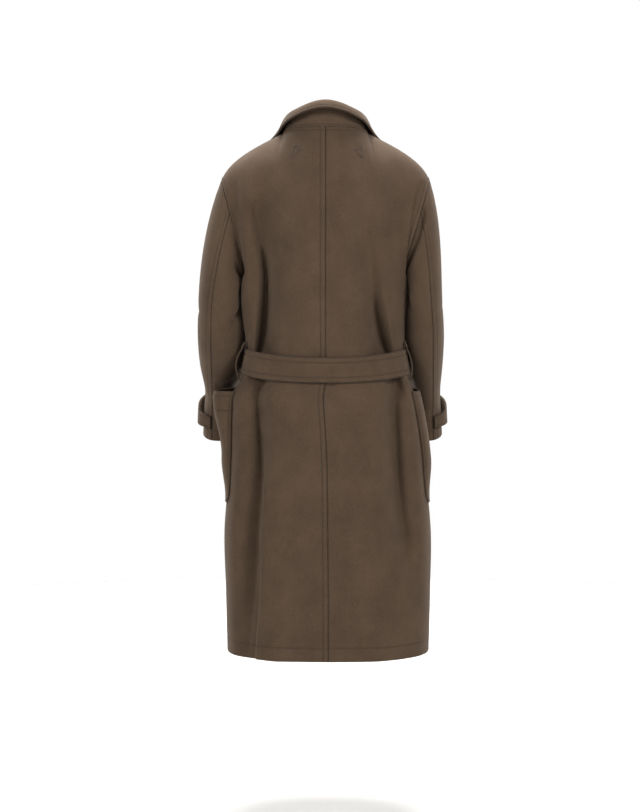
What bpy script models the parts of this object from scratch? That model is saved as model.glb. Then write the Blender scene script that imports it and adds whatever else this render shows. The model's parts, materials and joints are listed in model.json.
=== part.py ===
"""Belted wrap coat of heavy wool, worn and hollow, at its real size in metres.

+Z is up, the wearer's left is +X and the back faces +Y. The origin is the middle of the
back neck, where the wearer's shoulders hold the coat up.
"""

from functools import partial

import bpy
import numpy as np
from mathutils import Matrix


def table(columns, *rows):
    """Short table with named columns and one row for each section, pull or fold."""
    return np.array(list(rows), dtype=[(column, float) for column in columns.split()])


# Cloth and seams
WALL = 0.003
BELT_WALL = 0.006
STRAP_WALL = 0.005
SEAM = 0.0003
UNDERCUT = 0.0010
SLEEVE_UNDERCUT = 0.0020
REST = 0.0004

# Heights from the back neck
HEM = -1.194
UNDERARM = -0.340
HIP = -0.570
BREAK = -0.455

# Turns round the body in degrees, from centre back over the left side
SIDE_TURN = 90.0
FRONT_TURN = 180.0

# Body sections below the underarm: a squared ellipse, deeper behind than in front
SQUARENESS = 2.5
SECTIONS = table(
    "height half_width back front shift",
    (-1.194, 0.232, 0.166, 0.160, -0.006),
    (-1.050, 0.235, 0.163, 0.158, -0.006),
    (-0.920, 0.237, 0.160, 0.156, -0.005),
    (-0.800, 0.227, 0.156, 0.152, -0.004),
    (-0.700, 0.220, 0.151, 0.147, -0.001),
    (-0.640, 0.214, 0.146, 0.142, 0.003),
    (-0.600, 0.207, 0.141, 0.137, 0.005),
    (-0.575, 0.1945, 0.1375, 0.1335, 0.001),
    (-0.545, 0.1855, 0.1352, 0.1312, 0.000),
    (-0.500, 0.177, 0.134, 0.130, 0.000),
    (-0.420, 0.175, 0.142, 0.134, 0.000),
    (-0.340, 0.176, 0.148, 0.138, 0.000),
)

# Largest folds: where each runs round the body, from its top to its foot, and how deep it is
FOLDS = table(
    "turn_top turn_foot top peak foot width depth",
    (46.0, 50.0, -0.180, -0.470, -0.600, 8.0, -0.016),
    (76.0, 78.0, -0.190, -0.380, -0.505, 10.0, 0.010),
    (-24.0, -47.0, -0.230, -0.490, -0.600, 8.0, -0.012),
    (-76.0, -78.0, -0.170, -0.380, -0.505, 10.0, 0.006),
    (-100.0, -100.0, -0.200, -0.400, -0.510, 14.0, -0.007),
    (36.0, 42.0, -0.520, -0.800, -1.600, 8.0, -0.020),
    (24.0, 27.0, -0.600, -1.000, -1.700, 8.0, 0.007),
    (-50.0, -44.0, -0.520, -0.680, -1.300, 11.0, -0.011),
    (-20.0, -24.0, -0.600, -0.950, -1.700, 12.0, 0.005),
    (146.0, 147.0, -0.560, -0.950, -1.700, 6.0, -0.009),
    (-148.0, -156.0, -0.520, -0.900, -1.700, 10.0, -0.010),
)

# Neck and shoulders
NECK_HALF = 0.095
NECK_BACK = 0.078
NECK_SIDE_Y = -0.005
NECK_DROP = -0.012
SHOULDER_END = np.array((0.237, -0.004, -0.120))
SHOULDER_PULL = np.array((0.150, 0.000, -0.080))
SHOULDER_END_PULL = np.array((0.060, 0.000, -0.155))
NECK_SHARE = 0.42
CORNER_WINDOW = 0.30
CORNER_SAMPLES = 13
CORNER_ROW = 0.60

# How each panel leaves the underarm level and how it arrives at the neck and shoulder
BACK_START = table(
    "across x y z",
    (0.00, 0.000, 0.000, 0.340),
    (0.65, 0.000, 0.010, 0.330),
    (0.86, 0.004, 0.090, 0.230),
    (1.00, 0.010, 0.250, 0.060),
)
BACK_END = table(
    "across x y z",
    (0.00, 0.000, -0.165, 0.250),
    (0.42, 0.000, -0.260, 0.040),
    (0.75, 0.010, -0.230, 0.030),
    (1.00, 0.020, -0.200, 0.050),
)
FRONT_START = table(
    "across x y z",
    (0.00, 0.130, -0.020, 0.340),
    (0.40, 0.040, 0.000, 0.340),
    (0.80, 0.004, -0.070, 0.250),
    (1.00, 0.010, -0.250, 0.060),
)
FRONT_END = table(
    "across x y z",
    (0.00, 0.000, 0.260, 0.040),
    (0.50, 0.010, 0.230, 0.030),
    (1.00, 0.020, 0.200, 0.050),
)

# Wrap: the left front lies over the right front and its lapel
OVERLAP = 0.100
ROLL_LEAN = 0.330
LIFT = 0.0055
LAPEL_LIFT = 0.0100
LIFT_TURNS = (136.0, 160.0)
LAPEL_LIFT_HEIGHTS = (-0.500, -0.420)
BELT_LIFT_TURNS = (211.0, 240.0)
WRAP_ROW = 0.30

# Lapels and collar
ROLL_RADIUS = 0.0030
SINK = 0.0040
SINK_LENGTH = 0.050
LAPEL_FOOT_WIDTH = 0.006
LAPEL_START_LEFT = 1
LAPEL_START_RIGHT = 2
ROLL_LEAD = 0.0003
LAPEL_WIDTH = 0.112
FOLD_OPEN_LENGTH = 0.044
GORGE_ROW = 0.62
COLLAR_WALL = 0.0045
COLLAR_SHOULDER = 0.55
COLLAR_FRONT_FALL = 0.072
COLLAR_STAND = 0.90
COLLAR_ROLL = 0.030
NOTCH_START = 0.78
NOTCH_DEPTH = 0.13
COLLAR = table(
    "station fold_out fold_up edge_out edge_up",
    (-0.28, -0.005, 0.0380, 0.014, 0.017),
    (0.00, 0.000, 0.0545, 0.020, 0.038),
    (0.28, -0.005, 0.0380, 0.014, 0.017),
    (0.42, -0.009, 0.0320, 0.010, 0.003),
    (0.55, -0.008, 0.0250, 0.013, -0.006),
    (0.78, 0.004, 0.0220, 0.034, 0.000),
    (1.00, 0.006, 0.0120, 0.050, -0.010),
)

# Sleeves: sections square to the arm's own line
BICEP_SHARE = 0.40
SLEEVE = table(
    "place left_x right_x y z left_half right_half half_depth",
    (0.0, 0.2355, 0.2222, -0.004, -0.400, 0.0545, 0.0448, 0.083),
    (0.2, 0.2375, 0.2264, -0.029, -0.470, 0.0555, 0.0456, 0.081),
    (0.4, 0.2412, 0.2321, -0.081, -0.535, 0.0498, 0.0399, 0.075),
    (0.6, 0.2505, 0.2380, -0.130, -0.597, 0.0315, 0.0315, 0.068),
    (0.8, 0.2505, 0.2365, -0.157, -0.655, 0.0355, 0.0360, 0.064),
    (1.0, 0.2515, 0.2390, -0.170, -0.712, 0.0375, 0.0375, 0.061),
)
SLEEVE_SQUARENESS = 2.2
CAP_BULGE = 0.060
UNDERARM_BULGE = 0.030
BACK_SEAM = 0.31
FRONT_SEAM = 0.85
ARM_STEP = 0.02

# Cuff straps
STRAP_TOP = 0.855
STRAP_FOOT = 0.940
STRAP_STAND = 0.009
ARCH_FOOT = 0.26

# Patch pockets
POCKET_TURNS = (73.0, 133.0)
POCKET_TOP = -0.595
POCKET_FOOT = -0.850
POCKET_BULGE_LEFT = 0.014
POCKET_BULGE_RIGHT = 0.012
POCKET_MOUTH_LEFT = 0.040
POCKET_MOUTH_RIGHT = 0.0110
POCKET_REST = 0.0013
POCKET_SKEW = 0.30
POCKET_GATHER = 2.4
POCKET_FULL_SHARE = 0.4

# Belt
BELT_HEIGHT = 0.057
BELT_BACK = -0.541
BELT_SIDE = -0.527
BELT_CLEAR = 0.0012
LOOP_TURN = 80.0
LOOP_WIDTH = 0.012
LOOP_HEIGHT = 0.088
LOOP_REST = 0.0008
LOOP_WALL = 0.0025
LOOP_STAND_LEFT = 0.021
LOOP_STAND_RIGHT = 0.013
KNOT_SIZE = (0.054, 0.028, 0.066)
KNOT_ROUND = 0.009
KNOT_SEGMENTS = 4
KNOT_CLEAR = 0.0020
KNOT_X = -0.020
KNOT_HEIGHT = -0.532
END_LENGTHS = (0.360, 0.330)
END_LEANS = (0.050, -0.050)
END_STARTS = (-0.010, -0.030)
END_CLEARS = (0.0080, 0.0144)
END_RESTS = (0.0008, 0.0076)
END_FALL = 0.09

WOOL_COLOUR = (0.098, 0.070, 0.049, 1.0)
WOOL_ROUGHNESS = 0.92

# Difference step for a face's normals
STEP = 1e-4

# Rows and columns that neighbouring pieces share, so that their seams match
HIP_ROW, BREAK_ROW = ((height - UNDERARM) / (UNDERARM - HEM) for height in (HIP, BREAK))
HIP_ROWS, WAIST_ROWS, CHEST_ROWS = (
    np.linspace(*ends) for ends in ((-1.0, HIP_ROW, 14), (HIP_ROW, BREAK_ROW, 4), (BREAK_ROW, 0.0, 5))
)
SKIRT_ROWS = np.concatenate((HIP_ROWS, WAIST_ROWS[1:], CHEST_ROWS[1:]))
YOKE_ROWS = np.array((0.10, 0.20, 0.30, 0.41, 0.515, GORGE_ROW, 0.69, 0.76, 0.84, 0.92, 1.00))
ROWS = np.concatenate((SKIRT_ROWS, YOKE_ROWS))
NECK_COLUMNS = np.linspace(0.0, NECK_SHARE, 7)
BACK_COLUMNS = np.concatenate((NECK_COLUMNS, np.linspace(NECK_SHARE, 1.0, 8)[1:]))
FRONT_COLUMNS = np.linspace(0.0, 1.0, 15)
ROUND = np.concatenate(((0.0,), YOKE_ROWS / 2.0, 1.0 - YOKE_ROWS[-2::-1] / 2.0, (1.0,)))
SLEEVE_ROWS = np.linspace(0.0, 1.0, 20)

# Columns and rows of the smaller pieces
LAPEL_GRID = 12
COLLAR_GRID = 11
STRAP_GRID = (3, 19)
POCKET_GRID = (10, 9)
LOOP_GRID = (2, 18)
BELT_GRID = 4
BELT_FRONT_GRID = 29
END_GRID = (3, 12)


def ease(share):
    """Smooth rise from 0 to 1."""
    share = np.clip(share, 0.0, 1.0)
    return share * share * (3.0 - 2.0 * share)


def arch(share):
    """Strip that lies flat at both ends and stands off between them."""
    return ease(share / ARCH_FOOT) * ease((1.0 - share) / ARCH_FOOT)


def unit(vectors):
    """Vectors of length one."""
    return vectors / np.linalg.norm(vectors, axis=-1, keepdims=True)


def point(x, y, z):
    """Points from their coordinates."""
    return np.stack(np.broadcast_arrays(x, y, z), axis=-1)


def hermite(start, start_pull, end, end_pull, share):
    """Cubic from start to end that leaves and arrives along the given pulls."""
    t = np.asarray(share)
    rest = 1.0 - t
    return (
        (1.0 + 2.0 * t) * rest * rest * start
        + t * rest * rest * start_pull
        + t * t * (3.0 - 2.0 * t) * end
        - t * t * rest * end_pull
    )


def through(rows, place, value, at):
    """Smooth curve through one column of a table, read at the given places."""
    places, values = rows[place], rows[value]
    slopes = np.gradient(values, places)
    i = np.clip(np.searchsorted(places, at) - 1, 0, len(places) - 2)
    span = places[i + 1] - places[i]
    share = np.clip((at - places[i]) / span, 0.0, 1.0)
    return hermite(values[i], span * slopes[i], values[i + 1], span * slopes[i + 1], share)


def pull(rows, side, across):
    """Pull of a panel's columns, mirrored for the right side."""
    x, y, z = (through(rows, "across", axis, across) for axis in "xyz")
    return point(side * x, y, z)


def signed_power(value, power):
    """Power that keeps the sign."""
    return np.sign(value) * np.abs(value) ** power


def plain_body(turn, height):
    """Outside of the coat below the underarm, without its folds."""
    angle = np.radians(turn)
    behind = np.cos(angle) > 0.0
    back, front = (through(SECTIONS, "height", side, height) for side in ("back", "front"))
    power = 2.0 / SQUARENESS
    x = through(SECTIONS, "height", "half_width", height) * signed_power(np.sin(angle), power)
    y = np.where(behind, back, front) * signed_power(np.cos(angle), power)
    return point(x + through(SECTIONS, "height", "shift", height), y, height)


def body_out(turn, height):
    """Level direction square to the body."""
    angle = np.radians(turn)
    behind = np.cos(angle) > 0.0
    back, front = (through(SECTIONS, "height", side, height) for side in ("back", "front"))
    power = 2.0 - 2.0 / SQUARENESS
    x = signed_power(np.sin(angle), power) / through(SECTIONS, "height", "half_width", height)
    y = signed_power(np.cos(angle), power) / np.where(behind, back, front)
    return unit(point(x, y, 0.0))


def fold_push(turn, height):
    """How far the folds push the cloth out, or in where it is negative."""
    push = 0.0
    for fold in FOLDS:
        share = np.clip((fold["top"] - height) / (fold["top"] - fold["foot"]), 0.0, 1.0)
        middle = fold["turn_top"] + (fold["turn_foot"] - fold["turn_top"]) * share
        fade_in = ease((fold["top"] - height) / (fold["top"] - fold["peak"]))
        fade_out = ease((height - fold["foot"]) / (fold["peak"] - fold["foot"]))
        profile = np.exp(-(((turn - middle) / fold["width"]) ** 2))
        push = push + fold["depth"] * fade_in * fade_out * profile
    return push


def body(turn, height):
    """Outside of the coat below the underarm, with its folds."""
    return plain_body(turn, height) + body_out(turn, height) * fold_push(turn, height)[..., None]


def front_turn(x, height):
    """Turn of the front point at a distance from the middle."""
    half = through(SECTIONS, "height", "half_width", height)
    x = x - through(SECTIONS, "height", "shift", height)
    return FRONT_TURN - np.degrees(np.arcsin(signed_power(x / half, SQUARENESS / 2.0)))


def row_height(row):
    """Height of a row below the underarm: -1 at the hem, 0 at the underarm."""
    return UNDERARM + (UNDERARM - HEM) * np.minimum(row, 0.0)


def neck(side, share):
    """Neck seam, from centre back to the shoulder."""
    angle = np.radians(90.0 * share)
    y = NECK_SIDE_Y + (NECK_BACK - NECK_SIDE_Y) * np.cos(angle)
    return point(side * NECK_HALF * np.sin(angle), y, NECK_DROP * share * share)


def shoulder(side, share):
    """Shoulder seam, from the neck to the armhole."""
    mirror = np.array((side, 1.0, 1.0))
    start = np.array((NECK_HALF, NECK_SIDE_Y, NECK_DROP))
    line = hermite(start, SHOULDER_PULL, SHOULDER_END, SHOULDER_END_PULL, share[..., None])
    return line * mirror


def back_top(side, across):
    """Top of the back: the neck seam, then the shoulder seam."""
    on_neck = neck(side, across / NECK_SHARE)
    on_shoulder = shoulder(side, (across - NECK_SHARE) / (1.0 - NECK_SHARE))
    return np.where((across < NECK_SHARE)[..., None], on_neck, on_shoulder)


def soft_top(side, across):
    """Top of the back with its corner averaged out, which the cloth below it follows."""
    window = np.clip(np.minimum(across, 1.0 - across), 0.0, CORNER_WINDOW)
    shifts = np.linspace(-1.0, 1.0, CORNER_SAMPLES)
    return sum(back_top(side, across + window * shift) for shift in shifts) / CORNER_SAMPLES


def back_panel(side, across, row):
    """Half of the back: across from the centre back seam to the side, row from the hem to the top."""
    turn = side * SIDE_TURN * across
    soft = soft_top(side, across)
    upper = hermite(
        plain_body(turn, np.full_like(turn, UNDERARM)),
        pull(BACK_START, side, across),
        soft,
        pull(BACK_END, side, across),
        row[..., None],
    )
    corner = ease((row - CORNER_ROW) / (1.0 - CORNER_ROW))[..., None]
    upper = upper + corner * (back_top(side, across) - soft)
    plain = np.where((row < 0.0)[..., None], plain_body(turn, row_height(row)), upper)
    return plain + body_out(turn, plain[..., 2]) * fold_push(turn, plain[..., 2])[..., None]


def wrap_lift(turn, height):
    """How far the left front stands off to lie over the right front and its lapel."""
    start, full = LIFT_TURNS
    low, high = LAPEL_LIFT_HEIGHTS
    lift = LIFT + LAPEL_LIFT * ease((height - low) / (high - low))
    return lift * ease((turn - start) / (full - start))


def edge_turn(height):
    """Turn of a front's free edge: upright below the break, then along the lapel's roll line."""
    return front_turn(-OVERLAP + ROLL_LEAN * np.maximum(height - BREAK, 0.0), height)


def front_panel(side, across, row):
    """One front: across from its free edge or roll line to the side, row from the hem to the shoulder."""
    height = row_height(row)
    edge = edge_turn(height)
    turn = side * (edge + (SIDE_TURN - edge) * across)
    upper = hermite(
        plain_body(turn, height),
        pull(FRONT_START, side, across),
        shoulder(side, across),
        pull(FRONT_END, side, across),
        np.maximum(row, 0.0)[..., None],
    )
    plain = np.where((row < 0.0)[..., None], plain_body(turn, height), upper)
    push = fold_push(turn, plain[..., 2])
    if side > 0.0:
        settle = 1.0 - ease((row - WRAP_ROW) / (1.0 - WRAP_ROW))
        push = push + wrap_lift(turn, plain[..., 2]) * settle
    return plain + body_out(turn, height) * push[..., None]


def normals(face, across, along, out):
    """Outward normals of a face."""
    over = face(across + STEP, along) - face(across - STEP, along)
    up = face(across, along + STEP) - face(across, along - STEP)
    return out * unit(np.cross(over, up))


def front_offset(side, distance, off, row):
    """Point at a distance from a front's roll line over its face, moved off the face."""
    zero = np.zeros_like(row)
    face = partial(front_panel, side)
    slope = (face(zero + STEP, row) - face(zero, row)) / STEP
    across = distance / np.linalg.norm(slope, axis=-1)
    return face(across, row) + normals(face, across, row, side) * off[..., None]


def rolled(side, arc, row, opened):
    """Cloth turned back over a front along its roll line.

    The cloth leaves the front's edge, turns round the roll radius as far as it is opened and lies
    on over the front, sinking on to it.
    """
    turned = np.minimum(arc / ROLL_RADIUS, opened)
    straight = arc - turned * ROLL_RADIUS
    distance = -ROLL_RADIUS * np.sin(turned) - straight * np.cos(opened)
    off = ROLL_RADIUS * (1.0 - np.cos(turned)) + straight * np.sin(opened)
    off = off - SINK * ease(straight / SINK_LENGTH)
    return front_offset(side, distance, off, row)


def lapel(side, across, along):
    """Lapel from the break to the gorge: across from its roll to its free edge."""
    row = BREAK_ROW + (GORGE_ROW - BREAK_ROW) * along
    opened = np.pi * ease(along / FOLD_OPEN_LENGTH)
    width = LAPEL_FOOT_WIDTH + (LAPEL_WIDTH - LAPEL_FOOT_WIDTH) * along
    arc = ROLL_LEAD + across * (np.pi * ROLL_RADIUS + width)
    return rolled(side, arc, row, opened)


def collar_section(base, out, station, share):
    """Stand and leaf of the collar over its base line: share 0 at the seam, 1 at the leaf's edge."""
    fold_out, fold_up, edge_out, edge_up = (
        through(COLLAR, "station", column, station)[..., None] for column in COLLAR.dtype.names[1:]
    )
    up = np.array((0.0, 0.0, 1.0))
    fold = base + fold_out * out + fold_up * up
    edge = base + edge_out * out + edge_up * up
    half = 2.0 * share[..., None]
    stand = hermite(base, COLLAR_STAND * fold_up * up, fold, COLLAR_ROLL * out, half)
    leaf = hermite(fold, COLLAR_ROLL * out, edge, edge - fold, half - 1.0)
    return np.where(half < 1.0, stand, leaf)


def collar(across, along):
    """Collar from gorge to gorge: across from the neck seam to the leaf's edge, along from right to left."""
    cut = 1.0 - NOTCH_DEPTH * np.clip((across - NOTCH_START) / (1.0 - NOTCH_START), 0.0, 1.0)
    side = np.where(along < 0.0, -1.0, 1.0)
    station = np.abs(along) * cut
    forward = (station - COLLAR_SHOULDER) / (1.0 - COLLAR_SHOULDER)
    row = 1.0 - (1.0 - GORGE_ROW) * np.clip(forward, 0.0, 1.0)
    result = np.zeros(across.shape + (3,))
    for hand in (-1.0, 1.0):
        roll_line = front_panel(hand, np.zeros_like(row), row)
        share = np.clip(station / COLLAR_SHOULDER, 0.0, 1.0)
        base = np.where((station < COLLAR_SHOULDER)[..., None], neck(hand, share), roll_line)
        angle = np.radians(90.0 * share)
        out = unit(point(hand * np.sin(angle), np.cos(angle), 0.0))
        standing = collar_section(base, out, station, across)
        turned = np.pi * ROLL_RADIUS
        fall = turned + (2.0 * across - 1.0) * COLLAR_FRONT_FALL
        arc = np.where(across < 0.5, 2.0 * across * turned, fall)
        lying = rolled(hand, arc, row, np.full_like(row, np.pi))
        blend = ease(forward)[..., None]
        shape = standing + (lying - standing) * blend
        result = np.where((side == hand)[..., None], shape, result)
    return result


def armhole(side, round_share):
    """Armhole from the underarm up the back to the shoulder and down the front."""
    one = np.ones_like(round_share)
    behind = back_panel(side, one, 2.0 * round_share)
    before = front_panel(side, one, 2.0 - 2.0 * round_share)
    return np.where((round_share < 0.5)[..., None], behind, before)


def sleeve_ring(side, round_share, down):
    """Sleeve below the bicep: a squared ring square to the arm's line."""
    hand = "left" if side > 0.0 else "right"

    def centre(at):
        return point(*(through(SLEEVE, "place", column, at) for column in (hand + "_x", "y", "z")))

    below = centre(np.minimum(down + ARM_STEP / 2.0, 1.0))
    axis = unit(below - centre(np.maximum(down - ARM_STEP / 2.0, 0.0)))
    level = np.array((1.0, 0.0, 0.0)) - axis * axis[..., :1]
    wide = unit(level)
    deep = np.cross(wide, axis)
    angle = np.pi * (1.0 - 2.0 * round_share)
    power = 2.0 / SLEEVE_SQUARENESS
    x = through(SLEEVE, "place", hand + "_half", down) * signed_power(np.cos(angle), power)
    y = through(SLEEVE, "place", "half_depth", down) * signed_power(np.sin(angle), power)
    ring = centre(down) + wide * x[..., None] + deep * y[..., None]
    return ring * np.array((side, 1.0, 1.0))


def sleeve(side, round_share, along):
    """Sleeve from the armhole to the cuff: round from the underarm over the back and the outside."""
    round_share = round_share % 1.0
    zero = np.zeros_like(along)
    start = armhole(side, round_share)
    end = sleeve_ring(side, round_share, zero)
    down = (sleeve_ring(side, round_share, zero + ARM_STEP) - end) / ARM_STEP
    down = down * BICEP_SHARE / (1.0 - BICEP_SHARE)
    outside = np.sin(np.pi * round_share) ** 2
    angle = np.pi * (1.0 - 2.0 * round_share)
    radial = point(side * np.cos(angle), np.sin(angle), 0.0 * angle)
    outward = np.array((side, 0.0, 0.0))
    leave = end - start + CAP_BULGE * outside[..., None] * radial
    leave = leave + UNDERARM_BULGE * (1.0 - outside)[..., None] * outward
    cap = hermite(start, leave, end, down, (along / BICEP_SHARE)[..., None])
    tube_share = np.clip((along - BICEP_SHARE) / (1.0 - BICEP_SHARE), 0.0, 1.0)
    tube = sleeve_ring(side, round_share, tube_share)
    return np.where((along < BICEP_SHARE)[..., None], cap, tube)


def cuff_strap(side, across, along):
    """Strap from seam to seam round the outside of the sleeve: across from its foot to its top."""
    round_share = BACK_SEAM + (FRONT_SEAM - BACK_SEAM) * along
    down = STRAP_FOOT + (STRAP_TOP - STRAP_FOOT) * across
    face = partial(sleeve, side)
    off = REST + STRAP_WALL + STRAP_STAND * arch(along)
    return face(round_share, down) + normals(face, round_share, down, side) * off[..., None]


def pocket(side, across, along):
    """Patch pocket: across from its back edge to its front edge, along from its foot to its open top."""
    first, last = POCKET_TURNS
    turn = side * (first + (last - first) * across)
    height = POCKET_FOOT + (POCKET_TOP - POCKET_FOOT) * along
    middle = np.sin(np.pi * np.clip(across, 0.0, 1.0) ** POCKET_SKEW) ** POCKET_GATHER
    bulge = POCKET_BULGE_LEFT if side > 0.0 else POCKET_BULGE_RIGHT
    mouth = POCKET_MOUTH_LEFT if side > 0.0 else POCKET_MOUTH_RIGHT
    upper = ease((along - POCKET_FULL_SHARE) / (1.0 - POCKET_FULL_SHARE))
    full = bulge * ease(along / POCKET_FULL_SHARE)
    off = POCKET_REST + WALL + middle * (full + (mouth - full) * upper)
    return body(turn, height) + body_out(turn, height) * off[..., None]


def belt_height(turn):
    """Height of the belt's middle, lower at the back than at the sides."""
    return BELT_SIDE + (BELT_BACK - BELT_SIDE) * np.cos(np.radians(turn)) ** 2


def belt_band(across, along):
    """Belt round the waist: across from its lower edge to its upper edge, along the turns round the body."""
    height = belt_height(along) + BELT_HEIGHT * (across - 0.5)
    first, last = BELT_LIFT_TURNS
    lift = wrap_lift(along, height) * (1.0 - ease((along - first) / (last - first)))
    off = BELT_CLEAR + BELT_WALL + lift
    return plain_body(along, height) + body_out(along, height) * off[..., None]


def belt_loop(side, across, along):
    """Loop that holds the belt at the side: across its width, along from its foot to its top."""
    middle = belt_height(LOOP_TURN)
    height = middle + LOOP_HEIGHT * (along - 0.5)
    radius = np.linalg.norm(plain_body(np.array(LOOP_TURN), np.array(middle))[:2])
    turn = side * (LOOP_TURN + np.degrees(LOOP_WIDTH / radius) * (across - 0.5))
    stand = LOOP_STAND_LEFT if side > 0.0 else LOOP_STAND_RIGHT
    off = LOOP_REST + LOOP_WALL + stand * arch(along)
    return body(turn, height) + body_out(turn, height) * off[..., None]


def belt_end(index, across, along):
    """Hanging end of the belt: across its width, along from its foot to the knot."""
    length = END_LENGTHS[index]
    lean = 1.0 - along
    height = KNOT_HEIGHT - KNOT_SIZE[2] / 2.0 - REST - length * lean
    x = END_STARTS[index] + END_LEANS[index] * lean + BELT_HEIGHT * (across - 0.5)
    turn = front_turn(x, height)
    rest, clear = END_RESTS[index], END_CLEARS[index]
    off = rest + (clear - rest) * ease(1.0 - lean * length / END_FALL) + BELT_WALL + LIFT
    return body(turn, height) + body_out(turn, height) * off[..., None]


def wool(name):
    """Heavy brown wool cloth."""
    material = bpy.data.materials.new(name)
    material.use_nodes = True
    shader = material.node_tree.nodes["Principled BSDF"]
    shader.inputs["Base Color"].default_value = WOOL_COLOUR
    shader.inputs["Roughness"].default_value = WOOL_ROUGHNESS
    shader.inputs["Metallic"].default_value = 0.0
    material.diffuse_color = WOOL_COLOUR
    return material


COAT = bpy.data.collections.new("wrap_coat")


def add_mesh(name, points, faces):
    """Named object of the coat with its own material."""
    mesh = bpy.data.meshes.new(name)
    mesh.from_pydata(points.reshape(-1, 3).tolist(), [], faces)
    mesh.materials.append(wool(name + "_wool"))
    COAT.objects.link(bpy.data.objects.new(name, mesh))


def draw_back(points, distance, closed):
    """Moves a sheet's edges in by a distance, as each piece stops short of its seam."""
    edges = [(np.s_[0], np.s_[1]), (np.s_[-1], np.s_[-2])]
    if not closed:
        edges += [(np.s_[:, 0], np.s_[:, 1]), (np.s_[:, -1], np.s_[:, -2])]
    for edge, inner in edges:
        points[edge] += distance * unit(points[inner] - points[edge])


def add_wall(name, face, across, along, out, thickness=WALL, undercut=UNDERCUT, closed=False):
    """Closed cloth wall lofted between its outside and its inside, one thickness in.

    face gives the outside at an across and an along share, and out is the sign that turns its
    normals outward. A closed wall runs round on to its own start.
    """
    over, lengthwise = np.meshgrid(across, along, indexing="ij")
    outside = face(over, lengthwise)
    inside = outside - thickness * normals(face, over, lengthwise, out)
    draw_back(outside, SEAM / 2.0, closed)
    draw_back(inside, SEAM / 2.0 + undercut, closed)
    rows, columns = over.shape
    count = rows * columns
    index = np.arange(count).reshape(rows, columns)
    if closed:
        index = np.concatenate((index, index[:, :1]), axis=1)
    corners = (index[:-1, :-1], index[1:, :-1], index[1:, 1:], index[:-1, 1:])
    quads = np.stack(corners, axis=-1).reshape(-1, 4)
    rims = [index[0], index[-1, ::-1]]
    if not closed:
        rims += [index[::-1, 0], index[:, -1]]
    bands = [np.stack((r[1:], r[:-1], r[:-1] + count, r[1:] + count), axis=-1) for r in rims]
    rim = np.concatenate(bands)
    faces = np.concatenate((quads, quads[:, ::-1] + count, rim[:, ::-1]))
    if out < 0.0:
        faces = faces[:, ::-1]
    add_mesh(name, np.concatenate((outside.reshape(-1, 3), inside.reshape(-1, 3))), faces.tolist())


def add_knot():
    """Soft knot of the belt over the front of its band."""
    height = np.array(KNOT_HEIGHT)
    turn = front_turn(np.array(KNOT_X), height)
    off = BELT_CLEAR + BELT_WALL + LIFT + KNOT_CLEAR + KNOT_SIZE[1] / 2.0
    middle = plain_body(turn, height) + body_out(turn, height) * off
    bpy.ops.mesh.primitive_cube_add(size=1.0, location=middle.tolist())
    knot = bpy.context.object
    knot.name = knot.data.name = "belt_knot"
    knot.data.transform(Matrix.Diagonal((*KNOT_SIZE, 1.0)))
    knot.data.materials.append(wool("belt_knot_wool"))
    soft = knot.modifiers.new("Soft edges", "BEVEL")
    soft.width = KNOT_ROUND
    soft.segments = KNOT_SEGMENTS
    for collection in list(knot.users_collection):
        collection.objects.unlink(knot)
    COAT.objects.link(knot)


def shares(count):
    """Even shares from 0 to 1."""
    return np.linspace(0.0, 1.0, count)


def build_side(side, hand):
    """Pieces that come in a left and a right one."""
    upper = ROUND[(ROUND >= BACK_SEAM) & (ROUND <= FRONT_SEAM)]
    under = np.concatenate((ROUND[ROUND >= FRONT_SEAM] - 1.0, ROUND[1:][ROUND[1:] <= BACK_SEAM]))
    lapel_rows = ROWS[(ROWS >= BREAK_ROW) & (ROWS <= GORGE_ROW)]
    lapel_shares = (lapel_rows - BREAK_ROW) / (GORGE_ROW - BREAK_ROW)
    lapel_shares = lapel_shares[LAPEL_START_LEFT if side > 0.0 else LAPEL_START_RIGHT :]
    arm = partial(sleeve, side)
    add_wall(f"back_{hand}", partial(back_panel, side), BACK_COLUMNS, ROWS, -side)
    add_wall(f"front_{hand}", partial(front_panel, side), FRONT_COLUMNS, ROWS, side)
    add_wall(f"lapel_{hand}", partial(lapel, side), shares(LAPEL_GRID), lapel_shares, -side)
    add_wall(f"sleeve_upper_{hand}", arm, upper, SLEEVE_ROWS, side, undercut=SLEEVE_UNDERCUT)
    add_wall(f"sleeve_under_{hand}", arm, under, SLEEVE_ROWS, side, undercut=SLEEVE_UNDERCUT)
    strap_grid, pocket_grid, loop_grid = (map(shares, grid) for grid in (STRAP_GRID, POCKET_GRID, LOOP_GRID))
    add_wall(f"cuff_strap_{hand}", partial(cuff_strap, side), *strap_grid, side, STRAP_WALL)
    add_wall(f"pocket_{hand}", partial(pocket, side), *pocket_grid, -side)
    add_wall(f"belt_loop_{hand}", partial(belt_loop, side), *loop_grid, -side, LOOP_WALL)


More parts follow.
